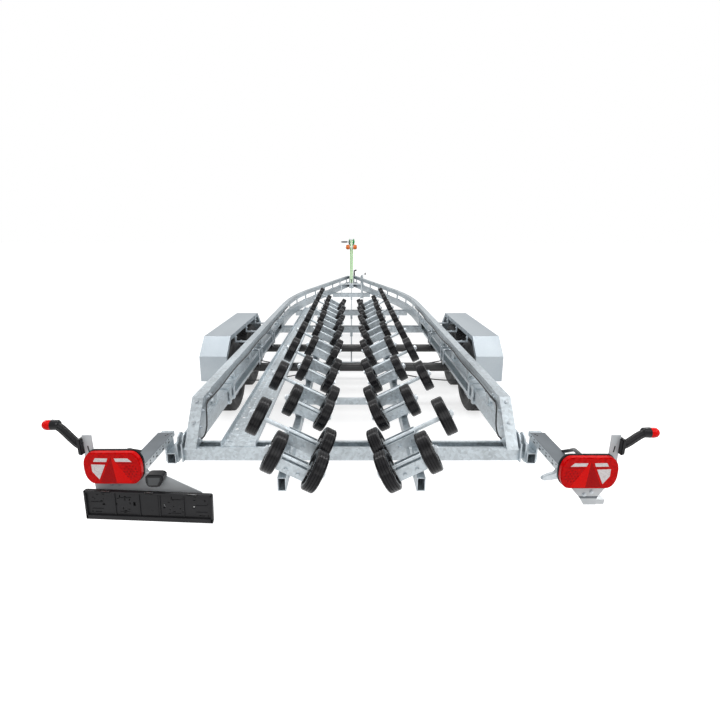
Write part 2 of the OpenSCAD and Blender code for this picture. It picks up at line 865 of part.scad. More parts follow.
module jockey_fork() {
    r = jockey_wheel_d / 2;
    inner = jockey_wheel_width / 2 + 5;
    color(zinc) jockey_x_place() {
        translate([0, 0, fork_top - 14 - 0.3]) cylinder(d = 76, h = 14);
        translate([0, 0, fork_top - 2]) cylinder(d = 20, h = 22);
        for (s = [-1, 1]) translate([s * (inner + 2.5) - 2.5, 0, 0]) along_x(5) polygon([
            [28, fork_top - 1],
            [-28, fork_top - 1],
            [-trail - 20, r],
            [-trail - 12, r - 18],
            [-trail + 12, r - 18],
            [-trail + 20, r]
        ]);
        translate([-inner - 12, -trail, r]) rotate([0, 90, 0]) cylinder(d = 14, h = 2 * inner + 24);
    }
}

module jockey_wheel() {
    r = jockey_wheel_d / 2;
    w = jockey_wheel_width / 2;
    bore = 7 + running_gap;
    color(rubber) jockey_x_place() translate([0, -trail, r]) rotate([0, 90, 0]) rotate_extrude()
        polygon([[bore, -w - 4], [20, -w - 4], [20, -14], [r - 42, -14], [r - 34, -w + 4], [r - 12, -w],
            [r - 3, -w + 8], [r, -8], [r, 8], [r - 3, w - 8], [r - 12, w], [r - 34, w - 4], [r - 42, 14],
            [20, 14], [20, w + 4], [bore, w + 4]]);
}

// Rubber torsion axle with trailing arms, stub axles and brake backplates.
module axle(y_tube) {
    seat = lower_bottom - channel_sheet;
    color(black) {
        translate([-rail_half - 15, y_tube, axle_height]) rotate([0, 90, 0])
            cylinder(d = axle_d, h = 2 * rail_half + 30);
        both() {
            for (x = [rail_in - 4, rail_half - 4])
                translate([x, y_tube - 60, axle_height]) cube([8, 120, seat - axle_height]);
            translate([rail_in - 6, y_tube - 75, seat - 8]) cube([rail_width + 12, 150, 8]);
            translate([rail_half + 15, y_tube, axle_height]) rotate([0, 90, 0])
                cylinder(d = axle_d + 14, h = 50);
            translate([rail_half + 20, y_tube, axle_height])
                rotate([atan2(arm_drop, arm_back), 0, 0])
                    translate([0, -arm_length, -34]) cube([40, arm_length, 68]);
            translate([rail_half + 20, y_tube - arm_back, wheel_r]) rotate([0, 90, 0])
                cylinder(d = 76, h = track_half + drum_x - 12 - rail_half - 20);
            translate([track_half + drum_x - 12, y_tube - arm_back, wheel_r]) rotate([0, 90, 0])
                cylinder(d = drum_d, h = 6);
            translate([rail_half + 30, y_tube - arm_back, wheel_r]) rotate([0, 90, 0])
                cylinder(d = stub_d, h = track_half + 24 - rail_half - 30);
        }
    }
}

module axle_rear() {
    axle(y_tube_rear);
}

module axle_front() {
    axle(y_tube_front);
}

// Brake rod from the drawbar to the compensator between the axles.
module brake_rod() {
    z = axle_height - axle_d / 2 - 12;
    y_plate = (y_tube_front + y_tube_rear) / 2 - 20;
    color(zinc) {
        translate([0, y_plate, z]) rotate([-90, 0, 0]) cylinder(d = 14, h = y_draw + 120 - y_plate);
        translate([-130, y_plate - 12, z - 4]) cube([260, 24, 8]);
        for (y = [y_mid_member + 50, y_front_member + 50, y_bow_member + 50])
            translate([-16, y - 10, z - 9]) cube([32, 20, member_bottom - z + 9]);
        translate([-7, y_draw + 106, z]) cube([14, 14, lower_bottom - z]);
    }
}

// Steel wheel with its hub and brake drum, around Z with the outer side up.
module rim() {
    w = 76;
    color(zinc) difference() {
        union() {
            rotate_extrude() polygon([
                [rim_edge, -w], [rim_edge, 4 - w], [bead_d / 2, 10 - w], [bead_d / 2, 26 - w],
                [bead_d / 2 - 18, -34], [bead_d / 2 - 18, 10], [bead_d / 2, w - 26],
                [bead_d / 2, w - 10], [rim_edge, w - 4], [rim_edge, w],
                [rim_edge - 6, w], [bead_d / 2 - 5, w - 8], [bead_d / 2 - 5, w - 28],
                [bead_d / 2 - 23, 12], [bead_d / 2 - 23, -36], [bead_d / 2 - 5, 24 - w],
                [bead_d / 2 - 5, 8 - w], [rim_edge - 6, -w]
            ]);
            rotate_extrude() polygon([
                [stub_d / 2 + 20, 8], [90, 8], [112, 30], [130, 30], [bead_d / 2 - 22, 6],
                [bead_d / 2 - 22, 12], [133, 36], [110, 36], [87, 14], [stub_d / 2 + 20, 14]
            ]);
            rotate_extrude() polygon([
                [stub_d / 2 + running_gap, drum_x + 24], [40, drum_x + 24], [40, -drum_web - 7],
                [drum_d / 2 - 10, -drum_web - 7], [drum_d / 2 - 10, drum_x],
                [drum_d / 2, drum_x], [drum_d / 2, -drum_web], [56, -drum_web], [56, 8],
                [40, 14], [33, 40], [30, 46], [0, 46], [0, 30], [stub_d / 2 + running_gap, 30]
            ]);
            for (a = [0 : 360 / stud_count : 359])
                rotate([0, 0, a]) translate([56, 0, 14]) cylinder(d = 21, h = 18, $fn = 6);
        }
        for (a = [0 : 30 : 359]) rotate([0, 0, a]) translate([121, 0, 0]) cylinder(d = 20, h = 60);
    }
}

// Road tyre around Z: a carcass of even wall with grooves in its tread.
module tyre() {
    r = wheel_r;
    w = tyre_width / 2;
    b = bead_d / 2;
    color(rubber) rotate_extrude() difference() {
        polygon([
            [b, -66], [b + 12, -72], [b + 14, -78], [b + 40, -w + 6], [b + 75, -w],
            [r - 40, -w + 5], [r - 12, -w + 14], [r - 3, -w + 26], [r, -w + 40], [r, w - 40], [r - 3, w - 26], [r - 12, w - 14],
            [r - 40, w - 5], [b + 75, w], [b + 40, w - 6], [b + 14, 78], [b + 12, 72], [b, 66],
            [b, 50], [b + 16, 56], [b + 44, w - 20], [b + 75, w - 12], [r - 40, w - 18],
            [r - 24, w - 32], [r - 18, 0], [r - 24, 32 - w], [r - 40, 18 - w], [b + 75, 12 - w],
            [b + 44, 20 - w], [b + 16, -56], [b, -50]
        ]);
        for (x = [-42, -14, 14, 42]) translate([r - 7, x - 3.5]) square([9, 7]);
    }
}

module at_wheel(front, side) {
    translate([side * track_half, y_axles + front * axle_gap / 2, wheel_r])
        rotate([0, side * 90, 0]) children();
}

module rim_front_left() {
    at_wheel(1, -1) rim();
}

module rim_front_right() {
    at_wheel(1, 1) rim();
}

module rim_rear_left() {
    at_wheel(-1, -1) rim();
}

module rim_rear_right() {
    at_wheel(-1, 1) rim();
}

module tyre_front_left() {
    at_wheel(1, -1) tyre();
}

module tyre_front_right() {
    at_wheel(1, 1) tyre();
}

module tyre_rear_left() {
    at_wheel(-1, -1) tyre();
}

module tyre_rear_right() {
    at_wheel(-1, 1) tyre();
}

// Folded mudguard over both wheels, open below, with its stays to the upper rail.
module mudguard() {
    flat = guard_flat / 2;
    long = guard_length / 2;
    base = [[-long - 10, guard_bottom], [-long, guard_crease], [-flat, guard_top], [flat, guard_top],
        [long, guard_crease], [long + 10, guard_bottom]];
    inner = inset(base, guard_sheet);
    lip = inset(base, guard_lip);
    skirt = inset(base, guard_skirt);
    color(zinc) {
        translate([guard_inner, y_axles, 0]) {
            along_x(guard_width) difference() {
                polygon(base);
                polygon(inner);
                translate([-long + 40, guard_bottom - 1]) square([2 * long - 80, 60]);
            }
            along_x(guard_sheet) difference() {
                polygon(base);
                polygon(lip);
                translate([-long + 20, guard_bottom - 1]) square([2 * long - 40, 80]);
            }
            translate([guard_width - guard_sheet, 0, 0]) along_x(guard_sheet) difference() {
                polygon(base);
                polygon(skirt);
                translate([-long + 50, guard_bottom - 1]) square([2 * long - 100, 90]);
            }
        }
        for (y = [-430, 0, 430]) translate([0, y_axles + y - 20, 0]) {
            translate([rail_half, 0, upper_top - 14]) cube([guard_inner - rail_half, 40, 8]);
            translate([guard_inner - 6, 0, upper_top - 14])
                cube([6, 40, guard_top - upper_top + 10]);
        }
    }
}

module mudguard_right() {
    mudguard();
}

module mudguard_left() {
    left() mudguard();
}

// Socket tubes, lugs and guides that hold the light arms.
module light_sockets() {
    socket_z = member_bottom;
    color(zinc) both() {
        translate([socket_x, y_socket, socket_z]) tube_y(socket_width, socket_height, 4, socket_length);
        for (x = [member_half, socket_x - socket_width / 2 - 8])
            translate([x, 0, 0]) {
                translate([0, y_member - 20, member_bottom]) cube([8, 130, 110]);
                translate([0, y_member + 45, member_bottom + 110]) rotate([0, 90, 0])
                    cylinder(d = 84, h = 8);
            }
        translate([member_half + 8, y_member + 10, member_bottom + 12])
            cube([socket_x - socket_width / 2 - 16 - member_half, 80, 40]);
        translate([socket_x + socket_width / 2, y_member - 30, member_bottom + 8])
            cube([8, 110, guide_top - guide_height - member_bottom - 8]);
        translate([arm_x, y_member - 95, guide_top - guide_height])
            tube_y(guide_width, guide_height, guide_wall, 180);
    }
}

// Telescopic bar, folded cover and lamp carrier of a light arm.
module light_arm(tail) {
    bar_z = guide_top - guide_height / 2 - bar_height / 2;
    half = arm_width / 2;
    low = arm_top - 40;
    y_cover = y_arm - cover_length;
    color(zinc) {
        translate([arm_x - bar_width / 2, y_carrier, bar_z])
            cube([bar_width, y_member + 25 - y_carrier, bar_height]);
        translate([arm_x - half, y_cover, low]) along_y(cover_length) difference() {
            square([arm_width, 40]);
            translate([cover_sheet, -1])
                square([arm_width - 2 * cover_sheet, 41 - cover_sheet]);
        }
        translate([arm_x - half, y_cover, low]) cube([arm_width, 12, 40]);
        translate([0, y_carrier - carrier_sheet, 0]) along_y(carrier_sheet) polygon(tail > 0
            ? [[lens_outer - 12, lens_bottom + 100], [lens_outer - 12, bar_z - 30],
                [arm_x - 180, bar_z - 30], [plate_x - plate_width / 2 + 57, 500],
                [plate_x - plate_width / 2 + 57, 538], [plate_x - 49, 625],
                [lens_outer - lens_width, 632], [lens_outer - lens_width, lens_bottom + 80],
                [lens_outer - lens_width + 40, lens_bottom + 120]]
            : [[lens_outer - 12, lens_bottom + 100], [lens_outer - 20, lens_bottom - 40],
                [arm_x - 6, 513], [arm_x - 6, bar_z], [arm_x - 60, bar_z], [arm_x - 82, 513],
                [arm_x - 125, lens_bottom - 40], [lens_outer - lens_width + 40, lens_bottom + 40],
                [lens_outer - lens_width + 40, lens_bottom + 100]]);
        translate([tab_outer - tab_width, y_carrier - carrier_sheet, lens_bottom + lens_height - 60])
            cube([tab_width, carrier_sheet, 122]);
    }
}

module light_arm_right() {
    light_arm(0);
}

module light_arm_left() {
    left() light_arm(1);
}

// Lamp housing with its lens, on the aft side of the carrier.
module tail_lamp(bottom) {
    y_back = y_carrier - carrier_sheet;
    color(black) translate([lens_outer - lens_width - 6, y_back - 18, bottom - 6])
        along_y(18) rounded_2d(lens_width + 12, lens_height + 12, lens_round + 6);
    color(red) translate([lens_outer - lens_width, y_back - 38, bottom])
        along_y(20) rounded_2d(lens_width, lens_height, lens_round);
}

module tail_lamp_right() {
    tail_lamp(lens_bottom - lens_drop);
}

module tail_lamp_left() {
    left() tail_lamp(lens_bottom);
}

// Marker lamp on its bent rubber stalk: two arcs of one slope that end inside a collar.
module marker_lamp() {
    x0 = tab_outer + 8;
    z0 = lens_bottom + lens_height + 22;
    x1 = marker_reach - 60;
    turn = 58;
    r = (x1 - x0) / (2 * sin(turn));
    z1 = z0 + 2 * r * (1 - cos(turn));
    y = y_carrier - 6;
    color(black) {
        translate([tab_outer, y - 20, z0 - 24]) cube([16, 40, 48]);
        translate([x0, y, z0 + r]) rotate([90, 0, 0]) rotate([0, 0, -90])
            rotate_extrude(angle = turn - 1) translate([r, 0]) circle(stalk_d / 2);
        translate([x1, y, z1 - r]) rotate([90, 0, 0]) rotate([0, 0, 90])
            rotate_extrude(angle = turn - 1) translate([r, 0]) circle(stalk_d / 2);
        translate([(x0 + x1) / 2, y, (z0 + z1) / 2]) rotate([0, 90 - turn, 0])
            cylinder(d = stalk_d + 4, h = 8, center = true);
        translate([x1 - 4, y, z1]) rotate([0, 90, 0]) cylinder(d = marker_d, h = 30);
    }
    color(red) translate([x1 + 26, y, z1]) rotate([0, 90, 0]) rotate_extrude()
        polygon([[0, 0], [marker_d / 2, 0], [marker_d / 2, marker_reach - x1 - 38],
            [marker_d / 2 - 10, marker_reach - x1 - 26], [0, marker_reach - x1 - 26]]);
}

module marker_lamp_right() {
    marker_lamp();
}

module marker_lamp_left() {
    left() marker_lamp();
}

// Number plate holder with its lamp and spacers, on the left arm.
module plate_holder() {
    mid = plate_x;
    color(black) left() {
        translate([mid, y_rear, plate_z]) rotate([0, -plate_turn, 0]) {
            translate([-plate_width / 2, 0, -plate_height / 2]) {
                along_y(12) difference() {
                    rounded_2d(plate_width, plate_height, 8);
                    translate([8, 20]) square([plate_width - 16, plate_height - 28]);
                }
                translate([0, 8, 0]) along_y(plate_depth - 8) difference() {
                    rounded_2d(plate_width, plate_height, 8);
                    for (x = [0.15, 0.85]) translate([plate_width * x, 70]) circle(5);
                    for (x = [0.38, 0.62]) translate([plate_width * x - 5, 62]) square([10, 18]);
                }
                for (x = [0.235, 0.425, 0.585, 0.775])
                    translate([plate_width * x - 2, 5, 19]) cube([4, 4, plate_height - 26]);
            }
        }
        for (x = [mid + 60, arm_x - 10])
            translate([x, y_rear + plate_depth, plate_z - 20])
                cube([30, y_carrier - carrier_sheet - y_rear - plate_depth, 40]);
        translate([lens_outer - lens_width - 92, y_rear + 10, lens_bottom - 12])
            along_y(y_carrier - carrier_sheet - y_rear - 10) rounded_2d(78, 58, 18);
    }
}

// Cables along the upper rails and down the rear posts.
module wiring() {
    z = upper_bottom + 12;
    y0 = y_rail_rear + 60;
    color(black) both() {
        translate([rail_in - strut_sheet - cable_d / 2, y0, z]) rotate([-90, 0, 0])
            cylinder(d = cable_d, h = y_bend - y0);
        translate([rail_in - strut_sheet - cable_d - 1, y0 - 8, z - 8])
            cube([cable_d + 1, 16, 16]);
        translate([rail_in - strut_sheet - cable_d / 2, y0, z]) rotate([160, 0, 0])
            cylinder(d = cable_d, h = 150);
    }
}

lower_rail_left();
lower_rail_right();
upper_rail_left();
upper_rail_right();
axle_channels();
rail_struts();
cross_members();
roller_beams();
cradles_left();
cradles_right();
inner_rollers_left();
inner_rollers_right();
upper_rollers_left();
upper_rollers_right();
walkway();
drawbar();
coupling_head();
handbrake_lever();
winch_post();
winch();
bow_rollers();
jockey_tube();
jockey_leg();
jockey_fork();
jockey_wheel();
axle_front();
axle_rear();
brake_rod();
rim_front_left();
rim_front_right();
rim_rear_left();
rim_rear_right();
tyre_front_left();
tyre_front_right();
tyre_rear_left();
tyre_rear_right();
mudguard_left();
mudguard_right();
light_sockets();
light_arm_left();
light_arm_right();
tail_lamp_left();
tail_lamp_right();
marker_lamp_left();
marker_lamp_right();
plate_holder();
wiring();
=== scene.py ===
import math
import random

import bmesh
import bpy
from mathutils import Matrix, Vector


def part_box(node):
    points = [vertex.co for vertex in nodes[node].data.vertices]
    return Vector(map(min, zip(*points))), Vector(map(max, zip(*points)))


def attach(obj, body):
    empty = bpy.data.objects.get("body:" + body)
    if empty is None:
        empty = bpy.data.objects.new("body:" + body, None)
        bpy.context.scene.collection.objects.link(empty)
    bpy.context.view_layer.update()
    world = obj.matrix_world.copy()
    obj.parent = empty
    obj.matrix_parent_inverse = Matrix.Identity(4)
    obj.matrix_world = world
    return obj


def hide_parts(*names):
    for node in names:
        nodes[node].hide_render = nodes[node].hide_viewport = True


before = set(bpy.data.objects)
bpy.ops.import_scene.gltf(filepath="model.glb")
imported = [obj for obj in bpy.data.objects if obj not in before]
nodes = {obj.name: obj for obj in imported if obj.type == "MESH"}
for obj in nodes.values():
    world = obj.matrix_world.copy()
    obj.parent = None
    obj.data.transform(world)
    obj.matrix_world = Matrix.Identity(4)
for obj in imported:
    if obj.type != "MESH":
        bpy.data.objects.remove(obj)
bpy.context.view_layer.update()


# Camera: a standing person's eye height, close behind the trailer and tilted down. The wide
# lens makes the two light arms spread and the drawbar shrink to a point.
camera_data = bpy.data.cameras.new("camera")
camera_data.sensor_width = 36.0
camera_data.lens = 22.67
camera_data.shift_x = 0.0119
camera_data.clip_end = 100.0
camera = bpy.data.objects.new("camera", camera_data)
camera.location = (0.0, -6.46, 1.611)
camera.rotation_euler = (math.radians(90.0 - 15.73), 0.0, 0.0)
bpy.context.scene.collection.objects.link(camera)
bpy.context.scene.camera = camera


# Studio: a pale floor and a white surround, as for a catalogue picture. Soft lamps hang
# overhead and behind the camera, and two long strips draw a highlight on each roller.
class Shade:
    """A socket of a material. Arithmetic on it adds Math nodes, and node() adds any other."""

    def __init__(self, tree, socket=None):
        self.tree = tree
        self.socket = socket

    def node(self, kind, settings, sockets, out=0):
        made = self.tree.nodes.new(kind)
        for name, value in settings.items():
            if name == "stops":
                ramp = made.color_ramp
                while len(ramp.elements) < len(value):
                    ramp.elements.new(1.0)
                for stop, (place, tone) in zip(ramp.elements, value):
                    stop.position = place
                    stop.color = (*tone, 1.0) if isinstance(tone, tuple) else (tone, tone, tone, 1.0)
            else:
                setattr(made, name, value)
        for name, value in sockets.items():
            if isinstance(value, Shade):
                self.tree.links.new(value.socket, made.inputs[name])
            else:
                made.inputs[name].default_value = value
        return Shade(self.tree, made.outputs[out] if len(made.outputs) else None)

    def maths(self, operation, *values):
        return self.node("ShaderNodeMath", {"operation": operation}, dict(enumerate(values)))

    def __add__(self, other):
        return self.maths("ADD", self, other)

    def __sub__(self, other):
        return self.maths("SUBTRACT", self, other)

    def __rsub__(self, other):
        return self.maths("SUBTRACT", other, self)

    def __mul__(self, other):
        return self.maths("MULTIPLY", self, other)

    __radd__ = __add__
    __rmul__ = __mul__

    def place(self):
        return self.node("ShaderNodeTexCoord", {}, {}, "Object")

    def axis(self, letter):
        return self.node("ShaderNodeSeparateXYZ", {}, {0: self.place()}, letter)

    def noise(self, scale, detail=3.0, stretch=(1.0, 1.0, 1.0)):
        spot = self.node("ShaderNodeMapping", {}, {"Vector": self.place(), "Scale": stretch})
        return self.node("ShaderNodeTexNoise", {}, {"Vector": spot, "Scale": scale, "Detail": detail})

    def ramp(self, value, stops):
        return self.node("ShaderNodeValToRGB", {"stops": stops}, {0: value})

    def blend(self, amount, first, second):
        colours = {0: amount}
        for slot, tone in ((6, first), (7, second)):
            colours[slot] = tone if isinstance(tone, Shade) else (*tone, 1.0)
        return self.node("ShaderNodeMix", {"data_type": "RGBA"}, colours, 2)

    def bump(self, height, strength, distance=0.001):
        return self.node(
            "ShaderNodeBump", {}, {"Height": height, "Strength": strength, "Distance": distance}
        )

    def surface(self, **sockets):
        named = {name.replace("_", " "): value for name, value in sockets.items()}
        for name in ("Base Color", "Emission Color"):
            if name in named and not isinstance(named[name], Shade):
                named[name] = (*named[name], 1.0)
        shader = self.node("ShaderNodeBsdfPrincipled", {}, named)
        self.node("ShaderNodeOutputMaterial", {}, {"Surface": shader})


def finish(name):
    material = bpy.data.materials.new(name)
    material.use_nodes = True
    material.node_tree.nodes.clear()
    return material, Shade(material.node_tree)


def emptied(name, points=(), faces=()):
    mesh = bpy.data.meshes.new(name)
    mesh.from_pydata(points, [], faces)
    piece = bpy.data.objects.new(name, mesh)
    bpy.context.scene.collection.objects.link(piece)
    return piece


floor_paper, shade = finish("floor_paper")
ray = shade.node("ShaderNodeLightPath", {}, {}, "Is Camera Ray")
glossy = shade.node("ShaderNodeLightPath", {}, {}, "Is Glossy Ray")
matt = shade.node("ShaderNodeBsdfDiffuse", {}, {"Color": (0.5, 0.5, 0.5, 1.0)})
oval = shade.node("ShaderNodeMapping", {}, {"Vector": shade.place(), "Scale": (1.0, 0.55, 1.0)})
away = shade.node("ShaderNodeVectorMath", {"operation": "LENGTH"}, {0: oval}, "Value")
edge = shade.maths("MINIMUM", shade.maths("MAXIMUM", away * 0.55 - 0.75, 0.0), 1.0)
light = (ray + glossy * 0.75) * (edge * 0.36 + 0.64)
glow = shade.node("ShaderNodeEmission", {}, {"Color": (1.0, 1.0, 1.0, 1.0), "Strength": light})
both = shade.node("ShaderNodeAddShader", {}, {0: matt, 1: glow})
shade.node("ShaderNodeOutputMaterial", {}, {"Surface": both})
floor = emptied("floor", [(-60, -60, 0), (60, -60, 0), (60, 60, 0), (-60, 60, 0)], [(0, 1, 2, 3)])
floor.data.materials.append(floor_paper)

world = bpy.data.worlds.new("surround")
bpy.context.scene.world = world
world.use_nodes = True
world.node_tree.nodes.clear()
shade = Shade(world.node_tree)
seen = shade.node("ShaderNodeLightPath", {}, {}, "Is Camera Ray")
seen = shade.maths("MAXIMUM", seen, shade.node("ShaderNodeLightPath", {}, {}, "Is Glossy Ray") * 0.66)
sky = shade.node(
    "ShaderNodeBackground", {}, {"Color": (1.0, 1.0, 1.0, 1.0), "Strength": 0.26 + seen * 0.74}
)
shade.node("ShaderNodeOutputWorld", {}, {"Surface": sky})

for name, spot, target, size, power in (
    ("lamp_over", (0.0, -1.5, 6.0), (0.0, -0.5, 0.0), (7.0, 7.0), 95.0),
    ("strip_left", (-3.2, -1.5, 5.0), (0.3, -1.5, 0.6), (0.45, 9.0), 135.0),
    ("strip_right", (3.2, -1.5, 5.0), (-0.3, -1.5, 0.6), (0.45, 9.0), 135.0),
    ("lamp_front", (0.0, -9.5, 3.4), (0.0, -4.0, 0.5), (4.0, 4.0), 85.0),
    ("lamp_left", (-5.5, -5.5, 4.0), (0.0, -2.5, 0.4), (3.5, 3.5), 60.0),
    ("lamp_right", (5.5, -6.5, 4.5), (0.0, -2.5, 0.4), (3.5, 3.5), 140.0),
):
    lamp_data = bpy.data.lights.new(name, "AREA")
    lamp_data.shape = "RECTANGLE"
    lamp_data.size, lamp_data.size_y = size
    lamp_data.energy = power
    lamp = bpy.data.objects.new(name, lamp_data)
    lamp.location = spot
    lamp.rotation_euler = (Vector(target) - Vector(spot)).to_track_quat("-Z", "Y").to_euler()
    bpy.context.scene.collection.objects.link(lamp)

bpy.context.scene.view_settings.view_transform = "Standard"


# Side rails: welded steel tubes, dipped in hot zinc after all holes are drilled. The
# zinc freezes in flat crystals and runs in clouds and streaks along the tubes.
def dipped_zinc(name, colour, cloud, crystal=70.0, rough=0.42, metal=0.75):
    material, shade = finish(name)
    cells = shade.node("ShaderNodeTexVoronoi", {}, {"Vector": shade.place(), "Scale": crystal}, "Color")
    cell = shade.node("ShaderNodeSeparateColor", {}, {0: cells})
    clouds = shade.noise(3.1, 5.0, (1.0, 0.35, 1.0))
    streaks = shade.noise(14.0, 4.0, (1.0, 0.12, 1.0))
    tone = cell * 0.22 + clouds * 0.55 + streaks * 0.35 - 0.1
    dark = tuple(part * (1.0 - cloud) for part in colour)
    pale = tuple(min(1.0, part * (1.0 + cloud)) for part in colour)
    skin = shade.ramp(tone, [(0.25, dark), (0.48, colour), (0.72, pale)])
    fine = shade.noise(420.0, 2.0)
    shade.surface(
        Base_Color=skin,
        Metallic=metal,
        Roughness=cell * 0.12 + clouds * 0.16 + (rough - 0.14),
        Normal=shade.bump(fine * 0.5 + cell * 0.5, 0.25, 0.0006),
    )
    return material


def dress(material, *names):
    for name in names:
        for place in nodes[name].material_slots:
            place.material = material


def bolt_maker():
    """Hexagon heads on washers at points whose attribute "out" says which way each faces."""
    tree = bpy.data.node_groups.new("bolts", "GeometryNodeTree")
    face = tree.interface
    face.new_socket(name="Geometry", in_out="INPUT", socket_type="NodeSocketGeometry")
    width = face.new_socket(name="Across corners", in_out="INPUT", socket_type="NodeSocketFloat")
    washer = face.new_socket(name="Washer", in_out="INPUT", socket_type="NodeSocketFloat")
    coat = face.new_socket(name="Material", in_out="INPUT", socket_type="NodeSocketMaterial")
    face.new_socket(name="Geometry", in_out="OUTPUT", socket_type="NodeSocketGeometry")

    def step(kind, settings, sockets):
        made = tree.nodes.new(kind)
        for name, value in settings.items():
            setattr(made, name, value)
        for name, value in sockets.items():
            if isinstance(value, bpy.types.NodeSocket):
                tree.links.new(value, made.inputs[name])
            else:
                made.inputs[name].default_value = value
        return made

    def part(sides, radius, height, lift):
        half = step("ShaderNodeMath", {"operation": "MULTIPLY"}, {0: radius, 1: 0.5}).outputs[0]
        tall = step("ShaderNodeMath", {"operation": "MULTIPLY"}, {0: radius, 1: height}).outputs[0]
        rise = step("ShaderNodeMath", {"operation": "MULTIPLY"}, {0: radius, 1: lift}).outputs[0]
        drum = step("GeometryNodeMeshCylinder", {}, {"Vertices": sides, "Radius": half, "Depth": tall})
        up = step("ShaderNodeCombineXYZ", {}, {2: rise}).outputs[0]
        return step(
            "GeometryNodeTransform", {}, {"Geometry": drum.outputs["Mesh"], "Translation": up}
        ).outputs[0]

    given = tree.nodes.new("NodeGroupInput").outputs
    head = part(6, given["Across corners"], 0.36, 0.27)
    tip = part(8, given["Across corners"], 0.92, 0.0)
    tip = step("GeometryNodeTransform", {}, {"Geometry": tip, "Scale": (0.5, 0.5, 1.2)}).outputs[0]
    disc = part(12, given["Washer"], 0.12, 0.04)
    join = tree.nodes.new("GeometryNodeJoinGeometry")
    for shape in (head, tip, disc):
        tree.links.new(shape, join.inputs[0])
    facing = step(
        "GeometryNodeInputNamedAttribute", {"data_type": "FLOAT_VECTOR"}, {"Name": "out"}
    ).outputs[0]
    turn = step("FunctionNodeAlignRotationToVector", {"axis": "Z"}, {"Vector": facing}).outputs[0]
    many = step(
        "GeometryNodeInstanceOnPoints",
        {},
        {"Points": given["Geometry"], "Instance": join.outputs[0], "Rotation": turn},
    )
    real = step("GeometryNodeRealizeInstances", {}, {0: many.outputs[0]})
    coated = step(
        "GeometryNodeSetMaterial", {}, {"Geometry": real.outputs[0], "Material": given["Material"]}
    )
    step("NodeGroupOutput", {}, {0: coated.outputs[0]})
    return tree, {"width": width.identifier, "washer": washer.identifier, "coat": coat.identifier}


bolt_tree, bolt_inputs = bolt_maker()
bolt_zinc = dipped_zinc("bolt_zinc", (0.56, 0.60, 0.63), 0.2, 160.0, 0.34, 0.9)


def grown(piece, tree, inputs):
    """The mesh that a Geometry Nodes tree makes of a piece, in place of its own."""
    growth = piece.modifiers.new("growth", "NODES")
    growth.node_group = tree
    for name, value in inputs.items():
        growth[name] = value
    made = piece.evaluated_get(bpy.context.evaluated_depsgraph_get())
    mesh = bpy.data.meshes.new_from_object(made)
    piece.modifiers.remove(growth)
    piece.data = mesh
    return piece


def bolts(name, places, width=0.019, washer=0.026, body="frame", coat=None):
    piece = emptied(name, [spot for spot, facing in places])
    facings = piece.data.attributes.new("out", "FLOAT_VECTOR", "POINT")
    facings.data.foreach_set("vector", [part for spot, facing in places for part in facing])
    sizes = {bolt_inputs["width"]: width, bolt_inputs["washer"]: washer}
    grown(piece, bolt_tree, {**sizes, bolt_inputs["coat"]: coat or bolt_zinc})
    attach(piece, body)
    return piece


rail_zinc = dipped_zinc("rail_zinc", (0.56, 0.615, 0.65), 0.30)
dress(
    rail_zinc, "lower_rail_left", "lower_rail_right", "upper_rail_left", "upper_rail_right", "rail_struts"
)
dress(
    rail_zinc, "axle_channels", "cross_members", "roller_beams", "cradles_left", "cradles_right", "walkway"
)
dress(rail_zinc, "jockey_leg", "jockey_fork", "brake_rod", "light_sockets")

post_bolts = []
for side in (-1, 1):
    for drop in (0.022, 0.118):
        post_bolts.append(((side * 0.91, -3.941 - drop * 0.85 - 0.004, 0.676 - drop), (0.0, -0.76, 0.65)))
    for y, z in ((-3.97, 0.60), (-4.03, 0.52), (-4.08, 0.47), (-3.86, 0.645), (-3.82, 0.645)):
        post_bolts.append(((side * 0.874, y, z), (-side, 0.0, 0.0)))
bolts("post_bolts", post_bolts, 0.017, 0.024)


# Cradles: pressed zinc channels in pairs, welded to a rocker. A bolt through the rocker
# and the beam's ears lets each cradle tip.
pivots = []
for side in (-1, 1):
    for i in range(8):
        y = -4.4555 + 0.672 * i
        for x, facing in ((0.2885, -1), (0.3675, 1)):
            pivots.append(((side * x, y, 0.520), (side * facing, 0.0, 0.0)))
bolts("cradle_pivots", pivots, 0.026, 0.034)


